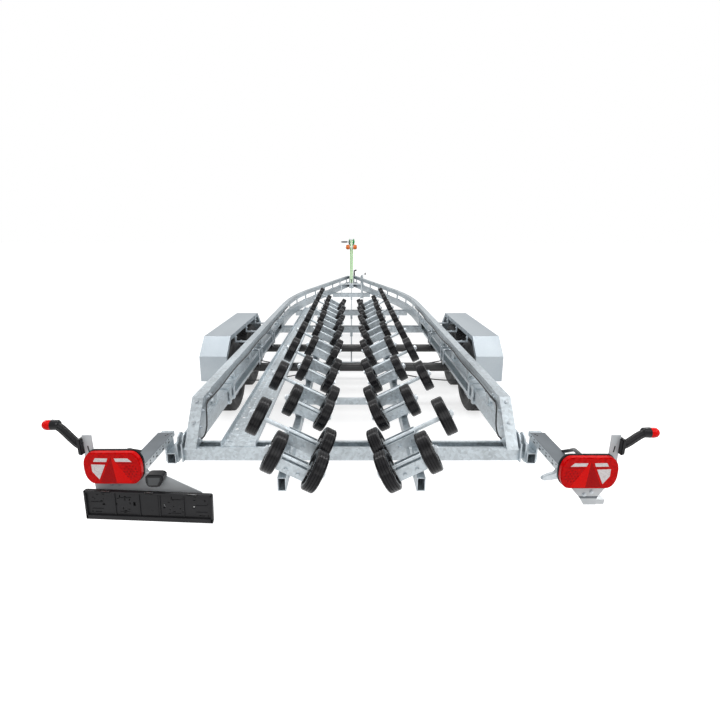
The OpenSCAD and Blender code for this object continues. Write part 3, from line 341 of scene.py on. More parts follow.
# Walkway: one plank of folded zinc sheet on the cross-members. Raised dimples in four
# rows between its punched holes give grip, and the holes let water through.
def dimple_maker():
    """Low round domes at points, for the walkway's grip."""
    tree = bpy.data.node_groups.new("dimples", "GeometryNodeTree")
    tree.interface.new_socket(name="Geometry", in_out="INPUT", socket_type="NodeSocketGeometry")
    radius = tree.interface.new_socket(name="Radius", in_out="INPUT", socket_type="NodeSocketFloat")
    coat = tree.interface.new_socket(name="Material", in_out="INPUT", socket_type="NodeSocketMaterial")
    tree.interface.new_socket(name="Geometry", in_out="OUTPUT", socket_type="NodeSocketGeometry")
    given = tree.nodes.new("NodeGroupInput").outputs
    dome = tree.nodes.new("GeometryNodeMeshCone")
    dome.inputs["Vertices"].default_value = 10
    dome.inputs["Side Segments"].default_value = 1
    half = tree.nodes.new("ShaderNodeMath")
    half.operation = "MULTIPLY"
    half.inputs[1].default_value = 0.62
    high = tree.nodes.new("ShaderNodeMath")
    high.operation = "MULTIPLY"
    high.inputs[1].default_value = 0.30
    many = tree.nodes.new("GeometryNodeInstanceOnPoints")
    real = tree.nodes.new("GeometryNodeRealizeInstances")
    coated = tree.nodes.new("GeometryNodeSetMaterial")
    result = tree.nodes.new("NodeGroupOutput")
    for source, target in (
        (given["Radius"], half.inputs[0]),
        (given["Radius"], high.inputs[0]),
        (given["Radius"], dome.inputs["Radius Bottom"]),
        (half.outputs[0], dome.inputs["Radius Top"]),
        (high.outputs[0], dome.inputs["Depth"]),
        (given["Geometry"], many.inputs["Points"]),
        (dome.outputs["Mesh"], many.inputs["Instance"]),
        (many.outputs[0], real.inputs[0]),
        (real.outputs[0], coated.inputs["Geometry"]),
        (given["Material"], coated.inputs["Material"]),
        (coated.outputs[0], result.inputs[0]),
    ):
        tree.links.new(source, target)
    return tree, {radius.identifier: 0.009, coat.identifier: rail_zinc}


dimple_tree, dimple_inputs = dimple_maker()
plank_low, plank_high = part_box("walkway")
plank_floor = plank_low[2] + 0.003
spots = []
for k in range(int((plank_high[1] - plank_low[1]) / 0.045) - 1):
    y = plank_low[1] + 0.040 + 0.045 * k
    for across, shift in ((0.016, 0.0), (0.058, 0.0225), (0.142, 0.0), (0.184, 0.0225)):
        spots.append((plank_low[0] + across, y + shift, plank_floor))
grip = emptied("walkway_dimples", spots)
grown(grip, dimple_tree, dimple_inputs)
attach(grip, "frame")


# Mudguards: zinc-coated sheet, folded at four creases, with hemmed edges. Bolts hold
# each to three brackets on the side rail, and the sheet is brushed smooth, not dipped.
def plain(name, colour, rough, metal=0.0, grain=300.0, depth=0.15, vary=0.15, **more):
    material, shade = finish(name)
    mottle = shade.noise(9.0, 4.0)
    low = tuple(part * (1.0 - vary) for part in colour)
    high = tuple(min(1.0, part * (1.0 + vary) + 0.004) for part in colour)
    shade.surface(
        Base_Color=shade.ramp(mottle, [(0.3, low), (0.7, high)]),
        Metallic=metal,
        Roughness=mottle * 0.12 + (rough - 0.06),
        Normal=shade.bump(shade.noise(grain, 2.0), depth, 0.0005),
        **more,
    )
    return material


sheet_zinc, shade = finish("sheet_zinc")
flow = shade.noise(1.6, 4.0, (1.0, 0.25, 1.6))
cells = shade.node("ShaderNodeTexVoronoi", {}, {"Vector": shade.place(), "Scale": 150.0}, "Color")
cell = shade.node("ShaderNodeSeparateColor", {}, {0: cells})
shade.surface(
    Base_Color=shade.ramp(
        flow + cell * 0.06,
        [(0.32, (0.37, 0.425, 0.465)), (0.5, (0.43, 0.48, 0.52)), (0.7, (0.50, 0.55, 0.585))],
    ),
    Metallic=0.7,
    Roughness=flow * 0.18 + 0.30,
    Normal=shade.bump(shade.noise(500.0, 2.0), 0.12, 0.0004),
)
dress(sheet_zinc, "mudguard_left", "mudguard_right")


# Keel rollers: black moulded rubber on steel shafts. Grooves round the tread shed
# water, the shoulders are round, and each side is hollowed between hub and tread.
roller_rubber, shade = finish("roller_rubber")
dust = shade.noise(24.0, 5.0)
grain = shade.noise(700.0, 2.0)
shade.surface(
    Base_Color=shade.ramp(
        dust, [(0.35, (0.004, 0.004, 0.005)), (0.62, (0.008, 0.008, 0.010)), (0.82, (0.020, 0.020, 0.023))]
    ),
    Roughness=dust * 0.10 + 0.17,
    Specular_IOR_Level=0.26,
    Normal=shade.bump(grain, 0.18, 0.0005),
)
half = [
    (0.0, 0.030),
    (0.034, 0.030),
    (0.038, 0.019),
    (0.072, 0.019),
    (0.077, 0.028),
    (0.080, 0.030),
    (0.087, 0.030),
]
half += [(0.0925, 0.0292), (0.0965, 0.0270), (0.0985, 0.0240)]
for middle in (0.0195, 0.0066):
    half += [(0.0999, middle + 0.0016), (0.0993, middle + 0.0011), (0.0968, middle + 0.0008)]
    half += [(0.0968, middle - 0.0008), (0.0993, middle - 0.0011), (0.0999, middle - 0.0016)]
half[0] = (0.012, 0.030)
profile = half + [(r, -h) for r, h in half[::-1]]


def turned_rings(outline, sides):
    points, faces = [], []
    for r, h in outline:
        for k in range(sides):
            a = 2 * math.pi * k / sides
            points.append((r * math.cos(a), r * math.sin(a), h))
    count = len(outline)
    for i in range(count):
        for k in range(sides):
            a, b = i * sides + k, i * sides + (k + 1) % sides
            c, d = ((i + 1) % count) * sides + (k + 1) % sides, ((i + 1) % count) * sides + k
            faces.append((a, d, c, b))
    return points, faces


def copier(name, pattern, coat):
    """Geometry Nodes that put a copy of a pattern piece at each point, its Z along the attribute "out"."""
    tree = bpy.data.node_groups.new(name, "GeometryNodeTree")
    tree.interface.new_socket(name="Geometry", in_out="INPUT", socket_type="NodeSocketGeometry")
    piece = tree.interface.new_socket(name="Pattern", in_out="INPUT", socket_type="NodeSocketObject")
    skin = tree.interface.new_socket(name="Material", in_out="INPUT", socket_type="NodeSocketMaterial")
    tree.interface.new_socket(name="Geometry", in_out="OUTPUT", socket_type="NodeSocketGeometry")
    given = tree.nodes.new("NodeGroupInput").outputs
    info = tree.nodes.new("GeometryNodeObjectInfo")
    facing = tree.nodes.new("GeometryNodeInputNamedAttribute")
    facing.data_type = "FLOAT_VECTOR"
    facing.inputs["Name"].default_value = "out"
    turn = tree.nodes.new("FunctionNodeAlignRotationToVector")
    turn.axis = "Z"
    many = tree.nodes.new("GeometryNodeInstanceOnPoints")
    real = tree.nodes.new("GeometryNodeRealizeInstances")
    coated = tree.nodes.new("GeometryNodeSetMaterial")
    result = tree.nodes.new("NodeGroupOutput")
    for source, target in (
        (given["Pattern"], info.inputs["Object"]),
        (facing.outputs[0], turn.inputs["Vector"]),
        (given["Geometry"], many.inputs["Points"]),
        (info.outputs["Geometry"], many.inputs["Instance"]),
        (turn.outputs[0], many.inputs["Rotation"]),
        (many.outputs[0], real.inputs[0]),
        (real.outputs[0], coated.inputs["Geometry"]),
        (given["Material"], coated.inputs["Material"]),
        (coated.outputs[0], result.inputs[0]),
    ):
        tree.links.new(source, target)
    return tree, {piece.identifier: pattern, skin.identifier: coat}


def copies(name, places, tree, inputs, body="frame"):
    piece = emptied(name, [spot for spot, facing in places])
    facings = piece.data.attributes.new("out", "FLOAT_VECTOR", "POINT")
    facings.data.foreach_set("vector", [part for spot, facing in places for part in facing])
    grown(piece, tree, inputs)
    piece.data.shade_smooth()
    piece.data.set_sharp_from_angle(angle=math.radians(40))
    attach(piece, body)
    return piece


def shaft_spot(side, i, front, reach):
    slope = math.radians(27.5)
    x = 0.328 + reach * math.cos(slope)
    y = -4.572 + 0.672 * i + 0.233 * front
    z = 0.627 + 0.021 * front + reach * math.sin(slope)
    return (side * x, y, z), (side * math.cos(slope), 0.0, math.sin(slope))


pattern = emptied("roller_pattern", *turned_rings(profile, 48))
roller_tree, roller_inputs = copier("rollers", pattern, roller_rubber)
for side, hand in ((-1, "left"), (1, "right")):
    for row, reaches in (("inner", (-0.180, -0.208)), ("upper", (0.029, 0.157))):
        places = [shaft_spot(side, i, front, reaches[front]) for i in range(8) for front in (0, 1)]
        rubber = copies("rollers_" + row + "_" + hand, places, roller_tree, roller_inputs)
        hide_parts(row + "_rollers_" + hand)
bpy.data.objects.remove(pattern)


# Roller shafts: round steel bars, threaded at both ends. A washer and a nut hold the
# outermost roller on each end.
shaft_nuts = []
for side in (-1, 1):
    for i in range(8):
        for front, inner, outer in ((0, -0.180, 0.029), (1, -0.208, 0.157)):
            for reach, turn in ((inner - 0.0305, -1), (outer + 0.0305, 1)):
                spot, along = shaft_spot(side, i, front, reach)
                shaft_nuts.append((spot, tuple(turn * part for part in along)))
bolts("shaft_nuts", shaft_nuts, 0.036, 0.050)


# Tail lamps: a black moulded shell with one red lens. Under the lens are a large
# triangular reflector, two clear strips and a clear reversing light.
def flat(across, spot, depth):
    a, b = spot
    return {"x": (depth, a, b), "y": (a, depth, b), "z": (a, b, depth)}[across]


def prism(form, outline, across, low, high, coat=0, bevel=0.0):
    near = [form.verts.new(flat(across, spot, low)) for spot in outline]
    far = [form.verts.new(flat(across, spot, high)) for spot in outline]
    count = len(outline)
    made = [form.faces.new(near), form.faces.new(far)]
    for i in range(count):
        made.append(form.faces.new((near[i], near[(i + 1) % count], far[(i + 1) % count], far[i])))
    for face in made:
        face.material_index = coat
    bmesh.ops.recalc_face_normals(form, faces=made)
    if bevel:
        edges = list({edge for face in made for edge in face.edges})
        cut = bmesh.ops.bevel(
            form, geom=edges, offset=bevel, segments=2, affect="EDGES", clamp_overlap=True
        )
        for face in cut["faces"]:
            face.material_index = coat
    return made


def oblong(low, high, radius, steps=6, tall=None):
    """A rectangle with round corners. tall is the corners' height where it isn't their width."""
    (x0, z0), (x1, z1) = low, high
    tall = tall or radius
    spots = []
    for cx, cz, start in (
        (x1 - radius, z1 - tall, 0),
        (x0 + radius, z1 - tall, 90),
        (x0 + radius, z0 + tall, 180),
        (x1 - radius, z0 + tall, 270),
    ):
        for i in range(steps + 1):
            a = math.radians(start + 90.0 * i / steps)
            spots.append((cx + radius * math.cos(a), cz + tall * math.sin(a)))
    return spots


def bar(form, line, radius, sides=12, coat=0):
    """A round bar along a line of points, closed at both ends. radius is one number or one for each point."""
    line = [Vector(spot) for spot in line]
    radii = radius if isinstance(radius, (list, tuple)) else [radius] * len(line)
    way = (line[1] - line[0]).normalized()
    across = way.orthogonal().normalized()
    rings = []
    for i, spot in enumerate(line):
        ahead = (line[min(i + 1, len(line) - 1)] - line[max(i - 1, 0)]).normalized()
        across = (across - ahead * across.dot(ahead)).normalized()
        other = ahead.cross(across)
        ring = []
        for k in range(sides):
            a = 2 * math.pi * k / sides
            ring.append(form.verts.new(spot + (across * math.cos(a) + other * math.sin(a)) * radii[i]))
        rings.append(ring)
    made = [form.faces.new(rings[0][::-1]), form.faces.new(rings[-1])]
    for low, high in zip(rings, rings[1:]):
        for k in range(sides):
            made.append(form.faces.new((low[k], low[(k + 1) % sides], high[(k + 1) % sides], high[k])))
    for face in made:
        face.material_index = coat
        face.smooth = True
    made[0].smooth = made[1].smooth = False
    return made


def turned(form, outline, centre, axis, sides=32, coat=0):
    """A closed outline of (radius, height) points turned round an axis."""
    way = Vector(axis).normalized()
    across = way.orthogonal().normalized()
    other = way.cross(across)
    centre = Vector(centre)
    rings = []
    for r, h in outline:
        ring = []
        for k in range(sides):
            a = 2 * math.pi * k / sides
            ring.append(
                form.verts.new(
                    centre + way * h + (across * math.cos(a) + other * math.sin(a)) * max(r, 1e-5)
                )
            )
        rings.append(ring)
    made = []
    for low, high in zip(rings, rings[1:] + rings[:1]):
        for k in range(sides):
            made.append(form.faces.new((low[k], low[(k + 1) % sides], high[(k + 1) % sides], high[k])))
    bmesh.ops.remove_doubles(form, verts=[v for ring in rings for v in ring], dist=2e-5)
    made = [face for face in made if face.is_valid]
    bmesh.ops.recalc_face_normals(form, faces=made)
    for face in made:
        face.material_index = coat
    return made


def settle(form, name, coats, body="frame", stands_for=None, smooth=False):
    mesh = bpy.data.meshes.new(name)
    form.to_mesh(mesh)
    form.free()
    piece = bpy.data.objects.new(name, mesh)
    bpy.context.scene.collection.objects.link(piece)
    for coat in coats:
        mesh.materials.append(coat)
    if smooth:
        mesh.shade_smooth()
        mesh.set_sharp_from_angle(angle=math.radians(35))
    if stands_for:
        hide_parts(stands_for)
    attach(piece, body)
    return piece


def lens(name, deep, bright, scale, grip=0.3):
    material, shade = finish(name)
    prisms = shade.node(
        "ShaderNodeTexVoronoi", {"distance": "CHEBYCHEV"}, {"Vector": shade.place(), "Scale": scale}
    )
    shade.surface(
        Base_Color=shade.blend(prisms * 1.1, bright, deep),
        Roughness=prisms * 0.15 + 0.12,
        Specular_IOR_Level=0.1,
        Normal=shade.bump(prisms, grip, 0.001),
    )
    return material


lens_red = lens("lens_red", (0.50, 0.0, 0.001), (0.88, 0.002, 0.002), 90.0, 0.12)
# lens_bright and lens_deep also carry the reflector's painted light: its lit half and its shaded half.
# lens_bright is also the marker lamps' red.
lens_bright = lens("lens_bright", (0.82, 0.0, 0.001), (1.0, 0.006, 0.003), 230.0)
lens_deep = lens("lens_deep", (0.36, 0.0, 0.002), (0.60, 0.001, 0.002), 230.0)
lens_clear = lens("lens_clear", (0.74, 0.66, 0.66), (1.0, 0.97, 0.97), 150.0, 0.5)
shell_black = plain("shell_black", (0.010, 0.010, 0.012), 0.28, Specular_IOR_Level=0.25)

for side, hand, bottom in ((-1, "left", 0.601), (1, "right", 0.579)):
    form = bmesh.new()
    inner = 0.869

    def on_lens(spots):
        return [(side * (inner + u / 1000.0), bottom + v / 1000.0) for u, v in spots]

    prism(form, on_lens(oblong((-2, -2), (238, 144), 41, 10, 63)), "y", -4.756, -4.743, 4, 0.002)
    prism(form, on_lens(oblong((0, 0), (236, 142), 40, 10, 62)), "y", -4.781, -4.755, 0, 0.006)
    face = -4.7812
    # The triangle's two halves are painted lit and shaded: this half in the bright red, the next in the deep
    # red.
    prism(form, on_lens([(117, 126), (107, 6), (42, 6)]), "y", face - 0.0004, face + 0.002, 1)
    prism(form, on_lens([(117, 126), (174, 8), (107, 6)]), "y", face - 0.0004, face + 0.002, 3)
    prism(form, on_lens([(145, 89), (202, 91), (202, 58), (177, 22)]), "y", face - 0.0006, face + 0.002, 2)
    prism(
        form, on_lens([(34, 102), (50, 118), (105, 118), (100, 103)]), "y", face - 0.0005, face + 0.002, 2
    )
    prism(
        form, on_lens([(132, 118), (183, 119), (192, 103), (138, 102)]), "y", face - 0.0005, face + 0.002, 2
    )
    for low, high in (((138, 94), (196, 99)), ((30, 94), (90, 99))):
        prism(form, on_lens(oblong(low, high, 2, 2)), "y", face - 0.0004, face + 0.002, 3)
    for k in range(19):
        ring = 0 if k == 0 else (1 if k < 7 else 2)
        a = math.radians(60.0 * k if k < 7 else 30.0 * (k - 7))
        middle = (44 + 13 * ring * math.cos(a), 58 + 13 * ring * math.sin(a))
        spots = oblong((middle[0] - 4, middle[1] - 4), (middle[0] + 4, middle[1] + 4), 4, 3)
        prism(form, on_lens(spots), "y", face - 0.0003, face + 0.002, 3)
    coats = (lens_red, lens_bright, lens_clear, lens_deep, shell_black)
    settle(form, "tail_lamp_" + hand + "_lens", coats, "arm_" + hand, "tail_lamp_" + hand, True)


# Marker lamps: a soft rubber arm, ribbed along its length, that bends away when it is
# touched, with a two-coloured lamp pressed into its end.
arm_rubber = plain(
    "arm_rubber", (0.006, 0.006, 0.008), 0.20, grain=240.0, depth=0.4, vary=0.3, Specular_IOR_Level=0.3
)
for side, hand, top in ((-1, "left", 0.852), (1, "right", 0.818)):
    form = bmesh.new()
    prism(
        form,
        [(side * 1.112, 0.722), (side * 1.128, 0.726), (side * 1.128, 0.792), (side * 1.112, 0.792)],
        "y",
        -4.765,
        -4.727,
        0,
        0.003,
    )
    line = []
    for i in range(19):
        t = i / 18.0
        ease = t * t * (3 - 2 * t)
        line.append(
            Vector((side * (1.116 + 0.096 * t), -4.745, 0.758 + (top - 0.758) * (0.35 * t + 0.65 * ease)))
        )
    bar(form, line, 0.0158, 20, 0)
    for turn in (-62, -32, 0, 32, 62):
        ridge = []
        for i, spot in enumerate(line):
            along = (line[min(i + 1, 18)] - line[max(i - 1, 0)]).normalized()
            up = Vector((-along.z, 0.0, along.x)) * side
            a = math.radians(turn)
            ridge.append(spot + (Vector((0.0, -1.0, 0.0)) * math.cos(a) + up * math.sin(a)) * 0.0142)
        bar(form, ridge, 0.0036, 8, 0)
    end = (side * 1.196, -4.745, top)
    out = (side, 0.0, 0.0)
    turned(
        form, [(0.0, 0.0), (0.0165, 0.0), (0.0205, 0.004), (0.0222, 0.030), (0.0, 0.030)], end, out, 28, 0
    )
    turned(
        form,
        [(0.0, 0.028), (0.0213, 0.028), (0.0223, 0.044), (0.0205, 0.056), (0.0145, 0.064), (0.0, 0.0655)],
        end,
        out,
        28,
        1,
    )
    for face in form.faces:
        if face.material_index == 1 and face.calc_center_median().y > -4.745:
            face.material_index = 2
    settle(
        form,
        "marker_arm_" + hand,
        (arm_rubber, lens_bright, lens_clear),
        "arm_" + hand,
        "marker_lamp_" + hand,
        True,
    )


# Number plate holder: one black injection-moulded tray. Ribs divide its back into
# five fields, three small white blocks sit on its top edge, and slots fit the bolts of any car.
holder_black = plain(
    "holder_black", (0.015, 0.015, 0.017), 0.42, grain=900.0, depth=0.25, Specular_IOR_Level=0.25
)
top_edge_white = plain("top_edge_white", (0.86, 0.86, 0.85), 0.35, vary=0.04)
tray = bmesh.new()
prism(tray, oblong((-0.266, -0.0675), (0.266, 0.0675), 0.008, 4), "y", 0.008, 0.018, 0, 0.001)
for low, high in (
    ((-0.266, -0.0675), (0.266, -0.047)),
    ((-0.266, 0.0595), (0.266, 0.0675)),
    ((-0.266, -0.0675), (-0.258, 0.0675)),
    ((0.258, -0.0675), (0.266, 0.0675)),
):
    prism(tray, oblong(low, high, 0.0035, 3), "y", 0.0, 0.012, 0, 0.0012)
for x in (-0.142, -0.040, 0.045, 0.145):
    prism(tray, oblong((x - 0.002, -0.048), (x + 0.002, 0.060), 0.0015, 2), "y", 0.0045, 0.012, 1)
prism(tray, oblong((-0.034, -0.044), (0.039, 0.056), 0.003, 2), "y", 0.0065, 0.012, 1, 0.0008)
for x in (-0.175, 0.004, 0.185):
    prism(tray, oblong((x - 0.020, 0.0625), (x + 0.020, 0.0675), 0.002, 2), "y", -0.0, 0.003, 2, 0.0005)
for x, z, w, h in (
    (-0.218, 0.012, 0.050, 0.002),
    (-0.218, -0.020, 0.050, 0.002),
    (-0.105, 0.036, 0.040, 0.002),
    (-0.105, -0.030, 0.040, 0.002),
    (0.110, 0.036, 0.040, 0.002),
    (0.110, -0.030, 0.040, 0.002),
    (0.218, 0.012, 0.050, 0.002),
    (0.218, -0.020, 0.050, 0.002),
):
    prism(tray, oblong((x - w / 2, z - h / 2), (x + w / 2, z + h / 2), 0.0009, 2), "y", 0.006, 0.012, 1)
solid_tray = settle(tray, "plate_tray", (holder_black, shell_black, top_edge_white), "arm_left")
slots = bmesh.new()
luck = random.Random(5)
holes = [
    (-0.190, 0.002, 0.010, 0.010),
    (0.186, 0.002, 0.009, 0.009),
    (-0.062, 0.008, 0.010, 0.018),
    (0.062, 0.002, 0.009, 0.018),
]
holes += [
    (-0.215, -0.034, 0.026, 0.004),
    (0.220, -0.036, 0.026, 0.004),
    (-0.240, -0.034, 0.005, 0.005),
    (0.246, -0.036, 0.006, 0.006),
]
for middle in (-0.108, 0.112):
    for _ in range(12):
        x = middle + luck.uniform(-0.030, 0.030)
        z = luck.uniform(-0.036, 0.050)
        wide = luck.random() < 0.5
        holes.append((x, z, 0.010 if wide else 0.0035, 0.0035 if wide else 0.010))
for middle in (-0.215, 0.215):
    for _ in range(7):
        x = middle + luck.uniform(-0.030, 0.030)
        z = luck.uniform(0.014, 0.052)
        holes.append((x, z, luck.choice((0.004, 0.009)), 0.0035))
kept = []
for x, z, w, h in holes:
    if all(abs(x - a) > (w + c) / 2 + 0.003 or abs(z - b) > (h + d) / 2 + 0.003 for a, b, c, d in kept):
        kept.append((x, z, w, h))
for x, z, w, h in kept:
    prism(
        slots,
        [(x - w / 2, z - h / 2), (x + w / 2, z - h / 2), (x + w / 2, z + h / 2), (x - w / 2, z + h / 2)],
        "y",
        -0.01,
        0.03,
    )
cutter = settle(slots, "plate_slots", (), "arm_left")
cut = solid_tray.modifiers.new("slots", "BOOLEAN")
cut.object = cutter
cut.solver = "EXACT"
cut.use_self = True
mesh = bpy.data.meshes.new_from_object(solid_tray.evaluated_get(bpy.context.evaluated_depsgraph_get()))
solid_tray.modifiers.remove(cut)
solid_tray.data = mesh
bpy.data.objects.remove(cutter)
turn = Matrix.Translation((-0.849, -4.8, 0.5025)) @ Matrix.Rotation(math.radians(2.5), 4, "Y")
mesh.transform(turn)
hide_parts("plate_holder")

form = bmesh.new()
for x in (-0.924, -1.067):
    prism(form, oblong((x - 0.015, 0.4825), (x + 0.015, 0.5225), 0.004, 3), "y", -4.783, -4.743, 0, 0.001)
case = [
    (-0.838, 0.590),
    (-0.803, 0.590),
    (-0.796, 0.594),
    (-0.780, 0.622),
    (-0.7775, 0.632),
    (-0.781, 0.642),
    (-0.790, 0.6465),
]
case += [(-0.840, 0.6465), (-0.850, 0.642), (-0.8545, 0.632), (-0.8535, 0.604), (-0.849, 0.594)]
prism(form, case, "y", -4.790, -4.743, 0, 0.005)
window = [(-0.842, 0.600), (-0.806, 0.600), (-0.792, 0.624), (-0.792, 0.636), (-0.842, 0.636)]
prism(form, window, "y", -4.7912, -4.786, 1, 0.0008)
lamp_smoke = plain("lamp_smoke", (0.055, 0.06, 0.065), 0.12, vary=0.3)
settle(form, "plate_lamp", (shell_black, lamp_smoke), "arm_left", None, True)


# Light arms: a zinc bar slides in the side rail's socket and carries a folded cover
# that lies over the cable. Its top is passivated darker than the perforated side wall.
arm_skin, shade = finish("arm_skin")
height = shade.axis("Z")
lid = shade.maths("GREATER_THAN", height, 0.5085) * shade.maths("LESS_THAN", height, 0.5200)
clouds = shade.noise(6.0, 5.0)
cover_tone = shade.ramp(clouds, [(0.3, (0.135, 0.152, 0.168)), (0.7, (0.19, 0.212, 0.232))])
side_tone = shade.ramp(clouds, [(0.3, (0.56, 0.60, 0.625)), (0.7, (0.70, 0.73, 0.75))])
plate = shade.maths("LESS_THAN", shade.axis("Y"), -4.7385)
shade.surface(
    Base_Color=shade.blend(lid, side_tone, cover_tone),
    Metallic=0.6 - plate * 0.45,
    Roughness=clouds * 0.16 + 0.34,
    Normal=shade.bump(shade.noise(520.0, 2.0), 0.15, 0.0004),
)
dress(arm_skin, "light_arm_left", "light_arm_right")
# The arms' holes are not cut: black discs and slots stand in for them, painted shade of the arm's inside.
painted_hole_shade = plain("painted_hole_shade", (0.012, 0.012, 0.014), 0.7)
hose_black = plain("hose_black", (0.014, 0.014, 0.015), 0.36)


def smooth_line(spots, steps=8):
    """Points of a smooth curve through the given spots."""
    spots = [Vector(spot) for spot in spots]
    spots = [spots[0] * 2 - spots[1]] + spots + [spots[-1] * 2 - spots[-2]]
    line = []
    for a, b, c, d in zip(spots, spots[1:], spots[2:], spots[3:]):
        for i in range(steps):
            t = i / steps
            line.append(
                0.5 * (
                    2 * b + (c - a) * t + (
                        2 * a - 5 * b + 4 * c - d
                    ) * t * t + (3 * b - a - 3 * c + d) * t ** 3
                )
            )
    return line + [spots[-2]]


def free_cord(name, spots, diameter, coat, body):
    line = smooth_line(spots)
    form = bmesh.new()
    bar(form, line, diameter / 2, 12, 0)
    piece = settle(form, name, (coat,), body, None, True)
    length = sum((b - a).length for a, b in zip(line, line[1:]))
    return piece


for side, hand in ((-1, "left"), (1, "right")):
    # Painted shade: black discs and slots on the side wall, the cover and the carrier, where holes would show
    # the dark inside.
    form = bmesh.new()
    for k in range(9):
        y = -4.425 + 0.040 * k
        prism(
            form,
            [
                (y + 0.0045 * math.cos(a), 0.4975 + 0.0045 * math.sin(a))
                for a in [math.pi * j / 5 for j in range(10)]
            ],
            "x",
            side * 1.0196,
            side * 1.0206,
            0,
        )
        if k % 2:
            prism(
                form,
                oblong((y - 0.012, 0.4785), (y + 0.008, 0.4855), 0.003, 3),
                "x",
                side * 1.0196,
                side * 1.0206,
                0,
            )
    for spot in ((1.040, -4.105), (1.046, -4.118)):
        prism(
            form,
            [
                (side * spot[0] + 0.005 * math.cos(a), spot[1] + 0.005 * math.sin(a))
                for a in [math.pi * j / 6 for j in range(12)]
            ],
            "z",
            0.5095,
            0.5104,
            0,
        )
    prism(
        form,
        [(side * 1.0905, 0.728), (side * 1.0955, 0.728), (side * 1.0985, 0.756), (side * 1.0935, 0.757)],
        "y",
        -4.7436,
        -4.7420,
        0,
    )
    settle(form, "arm_holes_" + hand, (painted_hole_shade,), "arm_" + hand, None)
    form = bmesh.new()
    lever = [(1.034, 0.486), (1.012, 0.488), (1.000, 0.470), (0.968, 0.461), (0.944, 0.447), (0.939, 0.435)]
    lever += [(0.952, 0.427), (0.985, 0.430), (1.020, 0.437), (1.036, 0.450)]
    prism(form, [(side * x, z) for x, z in lever], "y", -4.464, -4.442, 0, 0.003)
    bar(form, [(side * 1.018, -4.468, 0.450), (side * 1.018, -4.441, 0.450)], 0.007)
    prism(
        form, oblong((-4.470, 0.468), (-4.440, 0.506), 0.003, 3), "x", side * 1.016, side * 1.020, 0, 0.0008
    )
    settle(form, "arm_latch_" + hand, (bolt_zinc,), "arm_" + hand, None, True)
    route = [(1.106, -4.290, 0.497), (1.108, -4.370, 0.545), (1.085, -4.450, 0.590), (1.055, -4.530, 0.622)]
    route += [(1.030, -4.620, 0.645), (1.005, -4.700, 0.655), (0.990, -4.741, 0.648)]
    free_cord(
        "arm_hose_" + hand,
        [(side * x, y, z) for x, y, z in route],
        0.019,
        hose_black,
        "arm_" + hand,
    )
carrier_bolts = [((0.998, -4.744, 0.528), (0.0, -1.0, 0.0)), ((1.027, -4.744, 0.542), (0.0, -1.0, 0.0))]
bolts("carrier_bolts_right", carrier_bolts, 0.013, 0.018, "arm_right")
carrier_bolts = [((-1.020, -4.744, 0.577), (0.0, -1.0, 0.0)), ((-0.986, -4.744, 0.578), (0.0, -1.0, 0.0))]
bolts("carrier_bolts_left", carrier_bolts, 0.011, 0.015, "arm_left")


# Front end: a capped draw tube with a bellows, and a cast coupling with a black latch.
# The jockey wheel is rubber, and its crank knob and the handbrake's grip are plastic.
def two_tone(name, letter, limit, below, above, rough):
    """Zinc up to a limit along one axis and black plastic or rubber beyond it."""
    material, shade = finish(name)
    beyond = shade.maths("GREATER_THAN", shade.axis(letter), limit)
    clouds = shade.noise(7.0, 5.0)
    zinc = shade.ramp(clouds, [(0.3, tuple(part * 0.8 for part in below)), (0.7, below)])
    black = shade.ramp(clouds, [(0.3, above), (0.7, tuple(part * 2.0 for part in above))])
    shade.surface(
        Base_Color=shade.blend(beyond, zinc, black),
        Metallic=0.72 - beyond * 0.72,
        Roughness=clouds * 0.15 + rough,
        Normal=shade.bump(shade.noise(380.0, 2.0), 0.15, 0.0005),
    )
    return material


zinc_pale, plastic_black = (0.60, 0.65, 0.68), (0.012, 0.012, 0.013)
dress(two_tone("draw_skin", "Y", 4.4752, zinc_pale, plastic_black, 0.34), "drawbar")
dress(two_tone("coupling_skin", "Z", 0.5125, zinc_pale, plastic_black, 0.30), "coupling_head")
dress(two_tone("jockey_skin", "Z", 0.7282, zinc_pale, plastic_black, 0.30), "jockey_tube")
wheel_rubber = plain("wheel_rubber", (0.030, 0.030, 0.034), 0.38, grain=160.0, depth=0.3)
dress(wheel_rubber, "jockey_wheel")
lever_black = plain("lever_black", (0.014, 0.014, 0.015), 0.3, grain=260.0, depth=0.3)
dress(lever_black, "handbrake_lever")

draw_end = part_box("drawbar")[0][1]
form = bmesh.new()
for low, high in ((0.436, 0.532), (0.618, 0.674)):
    cap = oblong((-0.048, low), (0.048, high), 0.006, 3)
    prism(form, cap, "y", draw_end, draw_end + 0.004, 0, 0.001)
settle(form, "draw_caps", (rail_zinc,), "frame", None, True)

form = bmesh.new()
grip_line = [
    (0.064, 4.150, 0.700),
    (0.064, 4.142, 0.735),
    (0.070, 4.138, 0.757),
    (0.088, 4.134, 0.769),
    (0.118, 4.130, 0.772),
]
bar(form, smooth_line(grip_line, 4), 0.0165, 16)
for ring in range(6):
    place = Vector((0.064, 4.1545 - 0.0021 * ring, 0.640 + 0.010 * ring))
    turned(
        form, [(0.0, 0.0), (0.0175, 0.001), (0.0175, 0.006), (0.0, 0.007)], place, (0, -0.208, 0.978), 20, 0
    )
settle(form, "handbrake_grip", (lever_black,), "frame", None, True)


